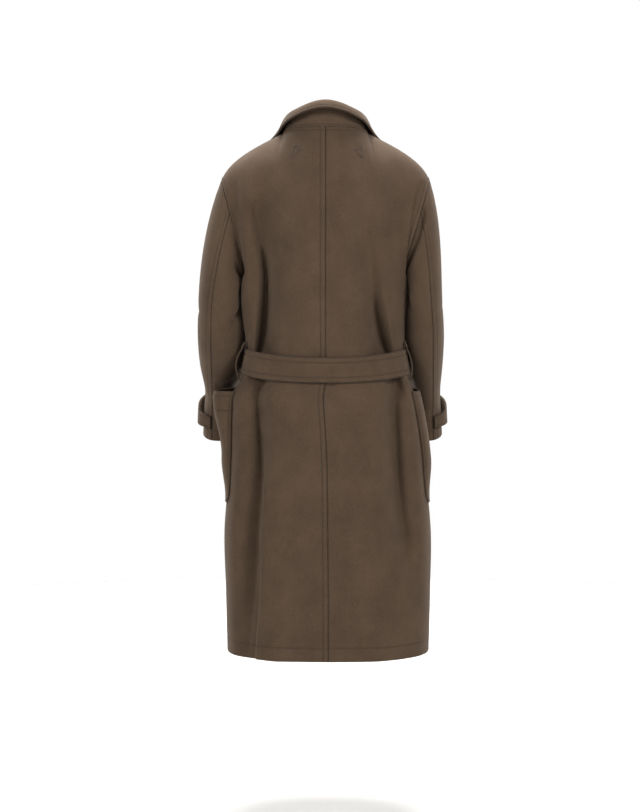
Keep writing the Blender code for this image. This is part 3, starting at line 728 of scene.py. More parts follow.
@dataclass(frozen=True)
class RollForm:
    """Lapels and collar: cloth that leaves a front along its roll line and turns back over it."""

    body: BodyForm
    radius: float = 0.0030
    sink: float = 0.0040
    sink_length: float = 0.050
    lead: float = 0.0003
    foot_width: float = 0.006
    width: float = 0.112
    open_length: float = 0.044
    gorge_row: float = 0.62
    shoulder_station: float = 0.55
    front_fall: float = 0.072
    stand: float = 0.90
    roll: float = 0.030
    notch_start: float = 0.78
    notch_depth: float = 0.13
    sections: Table = Table(
        "station fold_out fold_up edge_out edge_up",
        (-0.28, -0.005, 0.0380, 0.014, 0.017),
        (0.00, 0.000, 0.0545, 0.020, 0.038),
        (0.28, -0.005, 0.0380, 0.014, 0.017),
        (0.42, -0.009, 0.0320, 0.010, 0.003),
        (0.55, -0.008, 0.0250, 0.013, -0.006),
        (0.78, 0.004, 0.0220, 0.034, 0.000),
        (1.00, 0.006, 0.0120, 0.050, -0.010),
    )

    def beside(self, hand: Hand, distance: Array, off: Array, row: Array) -> Array:
        """Point at a distance from a front's roll line over its face, moved off the face.

        Args:
            hand: Side of the coat.
            distance: Distance from the roll line.
            off: Distance from the face.
            row: Row of the panel, from -1 at the hem to 1 at its top.

        Returns:
            Points beside the roll line.
        """
        zero = np.zeros_like(row)
        face = partial(self.body.front, hand)
        slope = (face(zero + STEP, row) - face(zero, row)) / STEP
        across = distance / np.linalg.norm(slope, axis=-1)
        return face(across, row) + normals(face, across, row, hand.value) * off[..., None]

    def rolled(self, hand: Hand, arc: Array, row: Array, opened: Array) -> Array:
        """Cloth turned back over a front: round the roll radius as far as opened, then straight on.

        Args:
            hand: Side of the coat.
            arc: Length run from the roll line.
            row: Row of the front.
            opened: Angle through which the cloth has turned.

        Returns:
            Points of the cloth's under side.
        """
        turned = np.minimum(arc / self.radius, opened)
        straight = arc - turned * self.radius
        distance = -self.radius * np.sin(turned) - straight * np.cos(opened)
        off = self.radius * (1.0 - np.cos(turned)) + straight * np.sin(opened)
        off = off - self.sink * ease(straight / self.sink_length)
        return self.beside(hand, distance, off, row)

    def lapel(self, hand: Hand, across: Array, along: Array) -> Array:
        """Lapel from the break to the gorge: across from its roll to its free edge.

        Args:
            hand: Side of the coat.
            across: Share across the piece.
            along: Share along the piece.

        Returns:
            Points of the lapel's under side.
        """
        row = self.body.break_row + (self.gorge_row - self.body.break_row) * along
        opened = np.pi * ease(along / self.open_length)
        width = self.foot_width + (self.width - self.foot_width) * along
        arc = self.lead + across * (np.pi * self.radius + width)
        return self.rolled(hand, arc, row, opened)

    def standing(self, base: Array, out: Array, station: Array, share: Array) -> Array:
        """Stand and leaf over the base line: a cubic up to the fold, then one down to the edge.

        Args:
            base: Points of the neck seam, or of the roll line.
            out: Level direction away from the neck.
            station: Share from centre back to the gorge.
            share: Share from the seam to the leaf's edge.

        Returns:
            Points of the under collar.
        """
        columns = ("fold_out", "fold_up", "edge_out", "edge_up")
        fold_out, fold_up, edge_out, edge_up = (
            self.sections.curve("station", column, station)[..., None] for column in columns
        )
        fold = base + fold_out * out + fold_up * UP
        edge = base + edge_out * out + edge_up * UP
        half = 2.0 * share[..., None]
        stand = hermite(base, self.stand * fold_up * UP, fold, self.roll * out, half)
        leaf = hermite(fold, self.roll * out, edge, edge - fold, half - 1.0)
        return np.where(half < 1.0, stand, leaf)

    def collar(self, across: Array, along: Array) -> Array:
        """Collar from gorge to gorge: it stands round the neck and blends into the turned lapels.

        Args:
            across: Share from the neck seam to the leaf's edge.
            along: Share from -1 at the right gorge to 1 at the left one.

        Returns:
            Points of the under collar.
        """
        cut = np.clip((across - self.notch_start) / (1.0 - self.notch_start), 0.0, 1.0)
        station = np.abs(along) * (1.0 - self.notch_depth * cut)
        forward = (station - self.shoulder_station) / (1.0 - self.shoulder_station)
        row = 1.0 - (1.0 - self.gorge_row) * np.clip(forward, 0.0, 1.0)
        share = np.clip(station / self.shoulder_station, 0.0, 1.0)
        angle = np.radians(90.0 * share)
        turned = np.pi * self.radius
        fall = turned + (2.0 * across - 1.0) * self.front_fall
        arc = np.where(across < 0.5, 2.0 * across * turned, fall)
        on_neck = (station < self.shoulder_station)[..., None]
        result = np.zeros(across.shape + (3,))
        for hand in Hand:
            roll_line = self.body.front(hand, np.zeros_like(row), row)
            base = np.where(on_neck, self.body.neck(hand, share), roll_line)
            out = unit(point(hand.value * np.sin(angle), np.cos(angle), 0.0))
            standing = self.standing(base, out, station, across)
            lying = self.rolled(hand, arc, row, np.full_like(row, np.pi))
            shape = standing + (lying - standing) * ease(forward)[..., None]
            here = np.where(along < 0.0, -1.0, 1.0) == hand.value
            result = np.where(here[..., None], shape, result)
        return result


@dataclass(frozen=True)
class SleeveForm:
    """Sleeves: a cap that leaves the armhole, then squared rings square to the arm's own line."""

    body: BodyForm
    bicep: float = 0.40
    squareness: float = 2.2
    cap_bulge: float = 0.060
    underarm_bulge: float = 0.030
    back_seam: float = 0.31
    front_seam: float = 0.85
    arm_step: float = 0.02
    strap_top: float = 0.855
    strap_foot: float = 0.940
    strap_stand: float = 0.009
    strap_wall: float = 0.005
    strap_rest: float = 0.0004
    strap_arch: float = 0.26
    sections: Table = Table(
        "place left_x right_x y z left_half right_half half_depth",
        (0.0, 0.2355, 0.2222, -0.004, -0.400, 0.0545, 0.0448, 0.083),
        (0.2, 0.2375, 0.2264, -0.029, -0.470, 0.0555, 0.0456, 0.081),
        (0.4, 0.2412, 0.2321, -0.081, -0.535, 0.0498, 0.0399, 0.075),
        (0.6, 0.2505, 0.2380, -0.130, -0.597, 0.0315, 0.0315, 0.068),
        (0.8, 0.2505, 0.2365, -0.157, -0.655, 0.0355, 0.0360, 0.064),
        (1.0, 0.2515, 0.2390, -0.170, -0.712, 0.0375, 0.0375, 0.061),
    )

    def centre(self, hand: Hand, down: Array) -> Array:
        """Line of the arm, before it is mirrored."""
        columns = (hand.word + "_x", "y", "z")
        return point(*(self.sections.curve("place", column, down) for column in columns))

    def ring(self, hand: Hand, round_share: Array, down: Array) -> Array:
        """Sleeve below the bicep: half sizes times signed powers of the cosine and sine.

        Args:
            hand: Side of the coat.
            round_share: Share round the sleeve, from the underarm over the back.
            down: Share from the bicep to the cuff.

        Returns:
            Points of the sleeve.
        """
        half_step = self.arm_step / 2.0
        below = self.centre(hand, np.minimum(down + half_step, 1.0))
        axis = unit(below - self.centre(hand, np.maximum(down - half_step, 0.0)))
        wide = unit(ALONG_X - axis * axis[..., :1])
        deep = np.cross(wide, axis)
        angle = np.pi * (1.0 - 2.0 * round_share)
        power = 2.0 / self.squareness
        half, depth = hand.word + "_half", "half_depth"
        x = self.sections.curve("place", half, down) * signed_power(np.cos(angle), power)
        y = self.sections.curve("place", depth, down) * signed_power(np.sin(angle), power)
        ring = self.centre(hand, down) + wide * x[..., None] + deep * y[..., None]
        return ring * hand.mirror

    def sleeve(self, hand: Hand, round_share: Array, along: Array) -> Array:
        """Sleeve from the armhole to the cuff, round from the underarm over the back.

        Args:
            hand: Side of the coat.
            round_share: Share round the sleeve, from the underarm over the back.
            along: Share from the armhole to the cuff.

        Returns:
            Points of the sleeve's outside.
        """
        round_share = round_share % 1.0
        zero = np.zeros_like(along)
        start = self.body.armhole(hand, round_share)
        end = self.ring(hand, round_share, zero)
        down = (self.ring(hand, round_share, zero + self.arm_step) - end) / self.arm_step
        down = down * self.bicep / (1.0 - self.bicep)
        outside = np.sin(np.pi * round_share) ** 2
        angle = np.pi * (1.0 - 2.0 * round_share)
        radial = point(hand.value * np.cos(angle), np.sin(angle), 0.0 * angle)
        leave = end - start + self.cap_bulge * outside[..., None] * radial
        leave = leave + self.underarm_bulge * (1.0 - outside)[..., None] * ALONG_X * hand.value
        cap = hermite(start, leave, end, down, (along / self.bicep)[..., None])
        tube_share = np.clip((along - self.bicep) / (1.0 - self.bicep), 0.0, 1.0)
        tube = self.ring(hand, round_share, tube_share)
        return np.where((along < self.bicep)[..., None], cap, tube)

    def strap(self, hand: Hand, across: Array, along: Array) -> Array:
        """Cuff strap from seam to seam: the sleeve's face moved out, flat at both ends.

        Args:
            hand: Side of the coat.
            across: Share from the lower edge to the upper one.
            along: Share from the back seam to the front seam.

        Returns:
            Points of the strap's outside.
        """
        round_share = self.back_seam + (self.front_seam - self.back_seam) * along
        down = self.strap_foot + (self.strap_top - self.strap_foot) * across
        face = partial(self.sleeve, hand)
        off = self.strap_rest + self.strap_wall + self.strap_stand * arch(along, self.strap_arch)
        out = normals(face, round_share, down, hand.value)
        return face(round_share, down) + out * off[..., None]


@dataclass(frozen=True)
class PocketForm:
    """Patch pockets: the body's face moved out, with a bulge and an open mouth."""

    body: BodyForm
    turns: tuple[float, float] = (73.0, 133.0)
    top: float = -0.595
    foot: float = -0.850
    rest: float = 0.0004
    bulges: tuple[float, float] = (0.014, 0.012)
    mouths: tuple[float, float] = (0.040, 0.0110)
    skew: float = 0.45
    gather: float = 2.4
    full_share: float = 0.4
    corner_share: float = 0.075
    corner_cut: float = 0.09

    def pocket(self, hand: Hand, across: Array, along: Array) -> Array:
        """Pocket with cut lower corners: across from its back edge, along from foot to mouth.

        Args:
            hand: Side of the coat.
            across: Share across the piece.
            along: Share along the piece.

        Returns:
            Points of the pocket's outside.
        """
        first, last = self.turns
        cut = self.corner_cut * np.clip(1.0 - along / self.corner_share, 0.0, 1.0)
        inside = cut + (1.0 - 2.0 * cut) * across
        turn = hand.value * (first + (last - first) * inside)
        height = self.foot + (self.top - self.foot) * along
        middle = np.sin(np.pi * np.clip(inside, 0.0, 1.0) ** self.skew) ** self.gather
        bulge, mouth = hand.pick(self.bulges), hand.pick(self.mouths)
        upper = ease((along - self.full_share) / (1.0 - self.full_share))
        full = bulge * ease(along / self.full_share)
        off = self.rest + CLOTH + middle * (full + (mouth - full) * upper)
        return self.body.skin(turn, height, off)


@dataclass(frozen=True)
class BeltForm:
    """Belt: a band round the plain waist, two side loops, a knot and two hanging ends."""

    body: BodyForm
    width: float = 0.057
    wall: float = 0.006
    back_height: float = -0.541
    side_height: float = -0.527
    clear: float = 0.0012
    lift_turns: tuple[float, float] = (211.0, 240.0)
    loop_turn: float = 80.0
    loop_width: float = 0.012
    loop_height: float = 0.088
    loop_rest: float = 0.0008
    loop_wall: float = 0.0025
    loop_stands: tuple[float, float] = (0.021, 0.013)
    loop_round: float = 0.8
    knot_size: tuple[float, float, float] = (0.054, 0.028, 0.066)
    knot_clear: float = 0.0020
    knot_x: float = -0.020
    knot_height: float = -0.532
    knot_columns: int = 96
    knot_rows: int = 65
    knot_power: float = 0.60
    knot_shear: float = 0.12
    knot_front: float = 0.6
    # Painted shade in the knot's grooves, for each unit of their depth
    knot_press: float = 2.0
    knot_grooves: Table = Table(
        "place lean width depth",
        (0.52, 0.62, 0.10, 0.26),
        (0.06, 0.22, 0.07, 0.10),
        (-0.60, -0.34, 0.10, 0.24),
    )
    end_rest: float = 0.0004
    end_lengths: tuple[float, float] = (0.360, 0.330)
    end_leans: tuple[float, float] = (0.050, -0.050)
    end_starts: tuple[float, float] = (-0.010, -0.030)
    end_clears: tuple[float, float] = (0.0080, 0.0144)
    end_rests: tuple[float, float] = (0.0008, 0.0076)
    end_fall: float = 0.09
    end_gather: float = 0.62
    end_spread: float = 0.085

    def height(self, turn: Array) -> Array:
        """Height of the belt's middle, lower at the back than at the sides."""
        behind = np.cos(np.radians(turn)) ** 2
        return self.side_height + (self.back_height - self.side_height) * behind

    def band(self, across: Array, along: Array) -> Array:
        """Band round the waist: across from its lower edge, along the turns round the body.

        Args:
            across: Share from the lower edge to the upper one.
            along: Turn round the body in degrees.

        Returns:
            Points of the band's outside.
        """
        height = self.height(along) + self.width * (across - 0.5)
        first, last = self.lift_turns
        settle = 1.0 - ease((along - first) / (last - first))
        lift = self.body.wrap_lift(along, height) * settle
        off = self.clear + self.wall + lift
        return self.body.plain(along, height) + self.body.out(along, height) * off[..., None]

    def loop(self, hand: Hand, across: Array, along: Array) -> Array:
        """Loop that holds the belt at the side: a strip that bows out from its foot to its top.

        Args:
            hand: Side of the coat.
            across: Share across the piece.
            along: Share along the piece.

        Returns:
            Points of the loop's outside.
        """
        middle = self.height(np.array(self.loop_turn))
        height = middle + self.loop_height * (along - 0.5)
        radius = np.linalg.norm(self.body.plain(np.array(self.loop_turn), middle)[:2])
        width = np.degrees(self.loop_width / radius)
        turn = hand.value * (self.loop_turn + width * (across - 0.5))
        bow = np.sin(np.pi * np.clip(along, 0.0, 1.0)) ** self.loop_round
        off = self.loop_rest + self.loop_wall + hand.pick(self.loop_stands) * bow
        return self.body.skin(turn, height, off)

    def end(self, hand: Hand, across: Array, along: Array) -> Array:
        """Hanging end, gathered at the knot: across its width, along from its foot to the knot.

        Args:
            hand: Side of the coat.
            across: Share across the piece.
            along: Share along the piece.

        Returns:
            Points of the end's outside.
        """
        fall = 1.0 - along
        length = hand.pick(self.end_lengths)
        spread = ease(fall * length / self.end_spread)
        width = self.width * (self.end_gather + (1.0 - self.end_gather) * spread)
        height = self.knot_height - self.knot_size[2] / 2.0 - self.end_rest - length * fall
        x = hand.pick(self.end_starts) + hand.pick(self.end_leans) * fall + width * (across - 0.5)
        rest, clear = hand.pick(self.end_rests), hand.pick(self.end_clears)
        near = ease(1.0 - fall * length / self.end_fall)
        off = rest + (clear - rest) * near + self.wall + self.body.lift
        return self.body.skin(self.body.front_turn(x, height), height, off)

    def knot_middle(self) -> Array:
        """Middle of the knot, over the front of the band.

        Returns:
            One point.
        """
        height = np.array(self.knot_height)
        turn = self.body.front_turn(np.array(self.knot_x), height)
        off = self.clear + self.wall + self.body.lift + self.knot_clear + self.knot_size[1] / 2.0
        return self.body.plain(turn, height) + self.body.out(turn, height) * off

    def knot(self) -> tuple[Array, Array]:
        """Knot: a squared ellipsoid with soft grooves in front, where the belt's turns meet.

        A groove is depth * exp(-((z + lean * x - place) / width)^2), and draws the front in.

        Returns:
            Grid of points, and how deep the grooves are at each of them.
        """
        turns = np.linspace(0.0, 2.0 * np.pi, self.knot_columns, endpoint=False)
        rises = np.linspace(-0.5, 0.5, self.knot_rows) * np.pi
        turn, rise = np.meshgrid(turns, rises, indexing="ij")
        flat = signed_power(np.cos(rise), self.knot_power)
        x, y = (flat * signed_power(wave(turn), self.knot_power) for wave in (np.sin, np.cos))
        z = signed_power(np.sin(rise), self.knot_power)
        groove = sum(
            row["depth"] * np.exp(-(((z + row["lean"] * x - row["place"]) / row["width"]) ** 2))
            for row in self.knot_grooves.rows()
        )
        pull = 1.0 - groove * np.clip(self.knot_front - y, 0.0, 1.0)
        shape = point(x + self.knot_shear * z, y * pull, z)
        return self.knot_middle() + shape * np.array(self.knot_size) / 2.0, groove


def linear(colour: str) -> tuple[float, float, float, float]:
    """Linear colour of an sRGB hex value.

    Args:
        colour: Colour such as "#5b4b3e".

    Returns:
        Linear red, green, blue and an alpha of one.
    """
    value = np.array([int(colour[i : i + 2], 16) for i in (1, 3, 5)]) / 255.0
    value = np.where(value <= 0.04045, value / 12.92, ((value + 0.055) / 1.055) ** 2.4)
    return (*value.tolist(), 1.0)


def set_sockets(
    tree: bpy.types.NodeTree, node: bpy.types.Node, sockets: dict[str | int, object]
) -> None:
    """Gives a node's inputs their values or links.

    Args:
        tree: Node tree of a material or of the world.
        node: Node of that tree.
        sockets: Value of each input, or the output that is linked to it.
    """
    for name, value in sockets.items():
        if isinstance(value, bpy.types.NodeSocket):
            tree.links.new(value, node.inputs[name])
        else:
            node.inputs[name].default_value = value


def add_node(
    tree: bpy.types.NodeTree,
    kind: str,
    settings: dict[str, object] | None = None,
    sockets: dict[str | int, object] | None = None,
) -> bpy.types.Node:
    """Adds a node with its settings and its sockets' values or links.

    Args:
        tree: Node tree of a material or of the world.
        kind: Blender's name of the node.
        settings: Values of the node's own properties.
        sockets: Value of each input, or the output that is linked to it.

    Returns:
        The new node.
    """
    node = tree.nodes.new(kind)
    for name, value in (settings or {}).items():
        setattr(node, name, value)
    set_sockets(tree, node, sockets or {})
    return node


def add_material(name: str) -> tuple[bpy.types.Material, bpy.types.NodeTree, bpy.types.Node]:
    """Adds a material.

    Args:
        name: Name of the material.

    Returns:
        The new material, its node tree and its shader.
    """
    material = bpy.data.materials.new(name)
    material.use_nodes = True
    return material, material.node_tree, material.node_tree.nodes["Principled BSDF"]


@dataclass(frozen=True)
class Melton:
    """Heavy wool melton: woven, fulled and brushed, so that a short matted nap hides the weave.

    It gives the eye a soft matte surface with fine mottling and a pale bloom where it turns away.
    A darker brown is painted shade, put in the sewing's trenches, along the pieces' edges and in
    the knot's grooves, where shade falls.
    """

    name: str = "brushed_wool_melton"
    dark: str = "#35281e"
    light: str = "#4f4032"
    # Darker brown of the painted shade in seams, along edges and in the knot's grooves
    painted_shade_colour: str = "#241b14"
    bloom: str = "#b8a593"
    roughness: float = 0.95
    specular: float = 0.18
    sheen: float = 0.14
    sheen_roughness: float = 0.55
    clump_mm: float = 3.0
    fibre_mm: float = 1.1
    patch_mm: float = 55.0
    details: tuple[float, float, float] = (3.0, 2.0, 3.0)
    noise_roughness: float = 0.6
    patch_weight: float = 1.2
    mix_range: tuple[float, float] = (0.9, 2.3)
    nap_stretch: float = 0.8
    bump_mm: float = 0.35
    bump_strength: float = 0.6

    def material(self) -> bpy.types.Material:
        """Noise of clumps, fibres and wide patches mixes the two browns and lifts the nap, and a
        point attribute mixes in the darker brown of the painted shade.

        Returns:
            The material.
        """
        material, tree, shader = add_material(self.name)
        place = add_node(tree, "ShaderNodeTexCoord").outputs["Object"]
        scale = (1.0, 1.0, self.nap_stretch)
        nap = add_node(tree, "ShaderNodeMapping", sockets={"Vector": place, "Scale": scale})
        # The fibres are thinner than a pixel of the render, so they are drawn coarser.
        sizes = (self.clump_mm, self.fibre_mm, self.patch_mm)
        clump, fibre, patch = (
            add_node(
                tree,
                "ShaderNodeTexNoise",
                sockets={
                    "Vector": nap.outputs["Vector"],
                    "Scale": 1000.0 / size,
                    "Detail": detail,
                    "Roughness": self.noise_roughness,
                },
            ).outputs["Fac"]
            for size, detail in zip(sizes, self.details)
        )
        both = {0: clump, 1: fibre}
        fine = add_node(tree, "ShaderNodeMath", {"operation": "ADD"}, both).outputs[0]
        whole = add_node(
            tree,
            "ShaderNodeMath",
            {"operation": "MULTIPLY_ADD"},
            {0: patch, 1: self.patch_weight, 2: fine},
        ).outputs[0]
        low, high = self.mix_range
        share = add_node(
            tree, "ShaderNodeMapRange", sockets={"Value": whole, "From Min": low, "From Max": high}
        ).outputs["Result"]
        # Painted shade: a point attribute darkens trenches, edges and the knot's grooves
        press = add_node(tree, "ShaderNodeAttribute", {"attribute_name": "press"}).outputs["Fac"]
        colour = linear(self.dark)
        for factor, over in ((share, self.light), (press, self.painted_shade_colour)):
            colour = add_node(
                tree,
                "ShaderNodeMix",
                {"data_type": "RGBA"},
                {0: factor, 6: colour, 7: linear(over)},
            ).outputs[2]
        bump = add_node(
            tree,
            "ShaderNodeBump",
            sockets={
                "Height": fine,
                "Strength": self.bump_strength,
                "Distance": self.bump_mm / 1000.0,
            },
        )
        sockets = {
            "Base Color": colour,
            "Normal": bump.outputs["Normal"],
            "Roughness": self.roughness,
            "Specular IOR Level": self.specular,
            "Sheen Weight": self.sheen,
            "Sheen Roughness": self.sheen_roughness,
            "Sheen Tint": linear(self.bloom),
        }
        set_sockets(tree, shader, sockets)
        return material


@dataclass(frozen=True)
class SewingThread:
    """Spun polyester thread, a shade darker than the cloth, twisted from two plies.

    It gives the eye short, slightly shiny dashes that sink into the nap.
    """

    name: str = "spun_polyester_thread"
    dark: str = "#35291f"
    light: str = "#524235"
    roughness: float = 0.6
    specular: float = 0.4
    ply_mm: float = 0.5
    ply_detail: float = 1.0
    pitch: float = 0.0042
    length: float = 0.0032
    width: float = 0.0010
    height: float = 0.0005
    ring_places: tuple[float, ...] = (-0.5, -0.25, 0.25, 0.5)
    ring_sizes: tuple[float, ...] = (0.35, 1.0, 1.0, 0.35)
    ring_lifts: tuple[float, ...] = (-1.0, 0.3, 0.3, -1.0)

    def raised(self) -> "SewingThread":
        """The same thread sewn to and fro into a raised bar, as on a tack."""
        return replace(self, pitch=0.0030, length=0.0034, width=0.0022, height=0.0011)

    def material(self) -> bpy.types.Material:
        """Fine bands of the plies' twist mix the two browns.

        Returns:
            The material.
        """
        material, tree, shader = add_material(self.name)
        place = add_node(tree, "ShaderNodeTexCoord").outputs["Object"]
        twist = add_node(
            tree,
            "ShaderNodeTexNoise",
            sockets={"Vector": place, "Scale": 1000.0 / self.ply_mm, "Detail": self.ply_detail},
        ).outputs["Fac"]
        colour = add_node(
            tree,
            "ShaderNodeMix",
            {"data_type": "RGBA"},
            {0: twist, 6: linear(self.dark), 7: linear(self.light)},
        ).outputs[2]
        sockets = {
            "Base Color": colour,
            "Roughness": self.roughness,
            "Specular IOR Level": self.specular,
        }
        set_sockets(tree, shader, sockets)
        return material

    def stitches(self, path: Array, out: Array) -> tuple[Array, Array]:
        """Row of stitches on a path: small closed dashes that rise from the cloth and sink back.

        Each dash is four square rings along the path, thin and sunk at its ends and full and raised
        between them.

        Args:
            path: Points on the cloth.
            out: Normals of the cloth at those points.

        Returns:
            Points and quads of all the stitches.
        """
        run = run_length(path)
        count = max(int(run[-1] / self.pitch), 1)
        places = (np.arange(count) + 0.5) * run[-1] / count
        rings = np.array(self.ring_places) * self.length
        size = np.array(self.ring_sizes)
        lift = np.array(self.ring_lifts) * self.height
        at = (places[:, None] + rings).ravel()

        def read(rows: Array, where: Array) -> Array:
            """Rows read at a distance along the path."""
            return np.stack([np.interp(where, run, rows[:, axis]) for axis in range(3)], axis=-1)

        middle = read(path, at).reshape(count, -1, 3)
        up = unit(read(out, at)).reshape(count, -1, 3)
        way = unit(read(path, at + STEP) - read(path, at - STEP)).reshape(count, -1, 3)
        over = unit(np.cross(way, up))
        angle = np.pi * (np.arange(4) + 0.5) / 2.0
        wide = (size[:, None] * np.cos(angle) * self.width / 2.0)[None, ..., None]
        high = (lift[:, None] + size[:, None] * np.sin(angle) * self.height)[None, ..., None]
        points = middle[:, :, None] + wide * over[:, :, None] + high * up[:, :, None]
        index = np.arange(len(rings) * 4).reshape(len(rings), 4)
        ahead = np.roll(index, -1, axis=1)
        sides = np.stack((index[:-1], ahead[:-1], ahead[1:], index[1:]), axis=-1).reshape(-1, 4)
        quads = np.concatenate((sides, index[:1, ::-1], index[-1:]))
        shift = len(rings) * 4 * np.arange(count)
        return points.reshape(-1, 3), (quads[None] + shift[:, None, None]).reshape(-1, 4)


def add_object(
    name: str, points: Array, quads: Array, press: Array | None = None
) -> bpy.types.Object:
    """Smooth mesh object at the origin from arrays.

    Args:
        name: Name of the object and its mesh.
        points: Vertices.
        quads: Four vertex numbers for each face.
        press: Share of painted shade at each vertex, from 0 to 1.

    Returns:
        The new object.
    """
    mesh = bpy.data.meshes.new(name)
    mesh.vertices.add(len(points))
    mesh.vertices.foreach_set("co", np.ascontiguousarray(points, np.float32).ravel())
    mesh.loops.add(quads.size)
    mesh.loops.foreach_set("vertex_index", np.ascontiguousarray(quads, np.int32).ravel())
    mesh.polygons.add(len(quads))
    mesh.polygons.foreach_set("loop_start", np.arange(0, quads.size, 4, dtype=np.int32))
    mesh.update(calc_edges=True)
    mesh.validate()
    mesh.shade_smooth()
    # Painted shade, kept as a point attribute that the cloth's material reads
    if press is not None:
        values = mesh.attributes.new("press", "FLOAT", "POINT")
        values.data.foreach_set("value", np.ascontiguousarray(press, np.float32))
    made = bpy.data.objects.new(name, mesh)
    bpy.context.scene.collection.objects.link(made)
    return made


def round_wall(
    outside: Array, inside: Array, painted_shades: tuple[Array, Array], closed: bool, edge_press: float
) -> tuple[Array, Array, Array]:
    """Closed wall between two grids, with half circles along its free edges.

    A ring of the rim is middle + cos(a) * half thickness * out + sin(a) * half thickness * away.
    The grids are first drawn back by the same half thickness, less what a seam presses together.

    Args:
        outside: Grid of the outer side.
        inside: Grid of the inner side.
        painted_shades: Painted shade at each point of the outer side and of the inner one.
        closed: Whether the second axis runs round on to its start.
        edge_press: Painted shade along the rounded edges.

    Returns:
        Points, quads and shares of painted shade.
    """
    rings = RIM_RINGS
    rows, columns = outside.shape[:2]
    index = np.arange(rows * columns).reshape(rows, columns)
    away = np.zeros_like(outside)
    away[0] += unit(outside[0] - outside[1])
    away[-1] += unit(outside[-1] - outside[-2])
    loops = [index[0], index[-1, ::-1]]
    if not closed:
        away[:, 0] += unit(outside[:, 0] - outside[:, 1])
        away[:, -1] += unit(outside[:, -1] - outside[:, -2])
        sides = (index[0, :-1], index[:-1, -1], index[-1, :0:-1], index[:0:-1, 0])
        loops = [np.concatenate(sides)]
    through = outside - inside
    thick = np.linalg.norm(through, axis=-1, keepdims=True)
    out = through / thick
    away = unit(away - out * (away * out).sum(axis=-1, keepdims=True))
    drawn = away * (thick / 2.0 - PRESSED)
    outside, inside = (grid - drawn for grid in (outside, inside))
    outer, inner = outside.reshape(-1, 3), inside.reshape(-1, 3)
    points, shares = [outer, inner], [press.ravel() for press in painted_shades]
    if closed:
        index = np.concatenate((index, index[:, :1]), axis=1)
    corners = (index[:-1, :-1], index[1:, :-1], index[1:, 1:], index[:-1, 1:])
    quads = np.stack(corners, axis=-1).reshape(-1, 4)
    faces = [quads, quads[:, ::-1] + len(outer)]
    total = 2 * len(outer)
    angles = np.pi * np.arange(1, rings + 1) / (rings + 1)
    for loop in loops:
        middle = (outer[loop] + inner[loop]) / 2.0
        half = (outer[loop] - inner[loop]) / 2.0
        reach = away.reshape(-1, 3)[loop] * np.linalg.norm(half, axis=-1, keepdims=True)
        cosine, sine = (wave(angles)[:, None, None] for wave in (np.cos, np.sin))
        round_it = middle + cosine * half + sine * reach
        numbers = total + np.arange(rings * len(loop)).reshape(rings, len(loop))
        bands = np.concatenate((loop[None], numbers, loop[None] + len(outer)))
        ahead = np.roll(bands, -1, axis=1)
        band = np.stack((bands[:-1], ahead[:-1], ahead[1:], bands[1:]), axis=-1)
        faces.append(band.reshape(-1, 4)[:, ::-1])
        points.append(round_it.reshape(-1, 3))
        # Painted shade along the rounded edges
        shares.append(np.full(rings * len(loop), edge_press))
        total += rings * len(loop)
    faces = np.concatenate(faces)
    first, second, third = (outer[quads[:, i]] for i in range(3))
    facing = np.cross(second - first, third - second) * out.reshape(-1, 3)[quads[:, 0]]
    faces = faces if facing.sum() > 0.0 else faces[:, ::-1]
    return np.concatenate(points), faces, np.concatenate(shares)


@dataclass(frozen=True)
class Topstitch:
    """Line of sewing at an inset from an edge, where the edge's own share lies in the span.

    It is sewn on the face of the piece, or on its under side.
    """

    edge: Edge
    inset: float
    span: tuple[float, float] = (-np.inf, np.inf)
    puff: float = 0.0
    under: bool = False


@dataclass(frozen=True)
class Sewing:
    """How sewing shapes the cloth: a soft trench on each line, with fine rows beside it."""

    trench: float = 0.0007
    trench_width: float = 0.0016
    # Painted shade on each stitched line: its strength and its width
    press: float = 0.60
    painted_shade_width: float = 0.0013
    fade: float = 0.02
    tack_step: float = 0.0005
    least_gap: float = 0.0005
    least_there: float = 0.5
    least_points: int = 3
    odd_cosine: float = 0.5
    beside: tuple[float, ...] = (
        *(-0.005, -0.003, -0.0018, -0.0009),
        *(0.0, 0.0009, 0.0018, 0.003, 0.005),
    )


SEWING = Sewing()

# Flat size and area of each piece as it is cut
FLATS = {
    "back": ((0.335, 1.24), 0.345),
    "front": ((0.42, 1.28), 0.412),
    "lapel": ((0.135, 0.42), 0.030),
    "collar": ((0.113, 0.57), 0.041),
    "sleeve_upper": ((0.29, 0.65), 0.120),
    "sleeve_under": ((0.25, 0.62), 0.086),
    "cuff_strap": ((0.049, 0.22), 0.0103),
    "pocket": ((0.206, 0.264), 0.051),
    "belt_band": ((0.057, 1.11), 0.0625),
    "belt_loop": ((0.012, 0.10), 0.0012),
}

# Stitched triangles below the collar, one inside the other, as corners of x and z
TACKS = {
    Hand.LEFT: (
        ((0.0504, -0.0511), (0.0705, -0.0410), (0.0784, -0.0713)),
        ((0.0570, -0.0520), (0.0703, -0.0455), (0.0752, -0.0655)),
    ),
    Hand.RIGHT: (
        ((-0.0616, -0.0525), (-0.0840, -0.0433), (-0.0845, -0.0746)),
        ((-0.0680, -0.0535), (-0.0810, -0.0480), (-0.0815, -0.0680)),
    ),
}


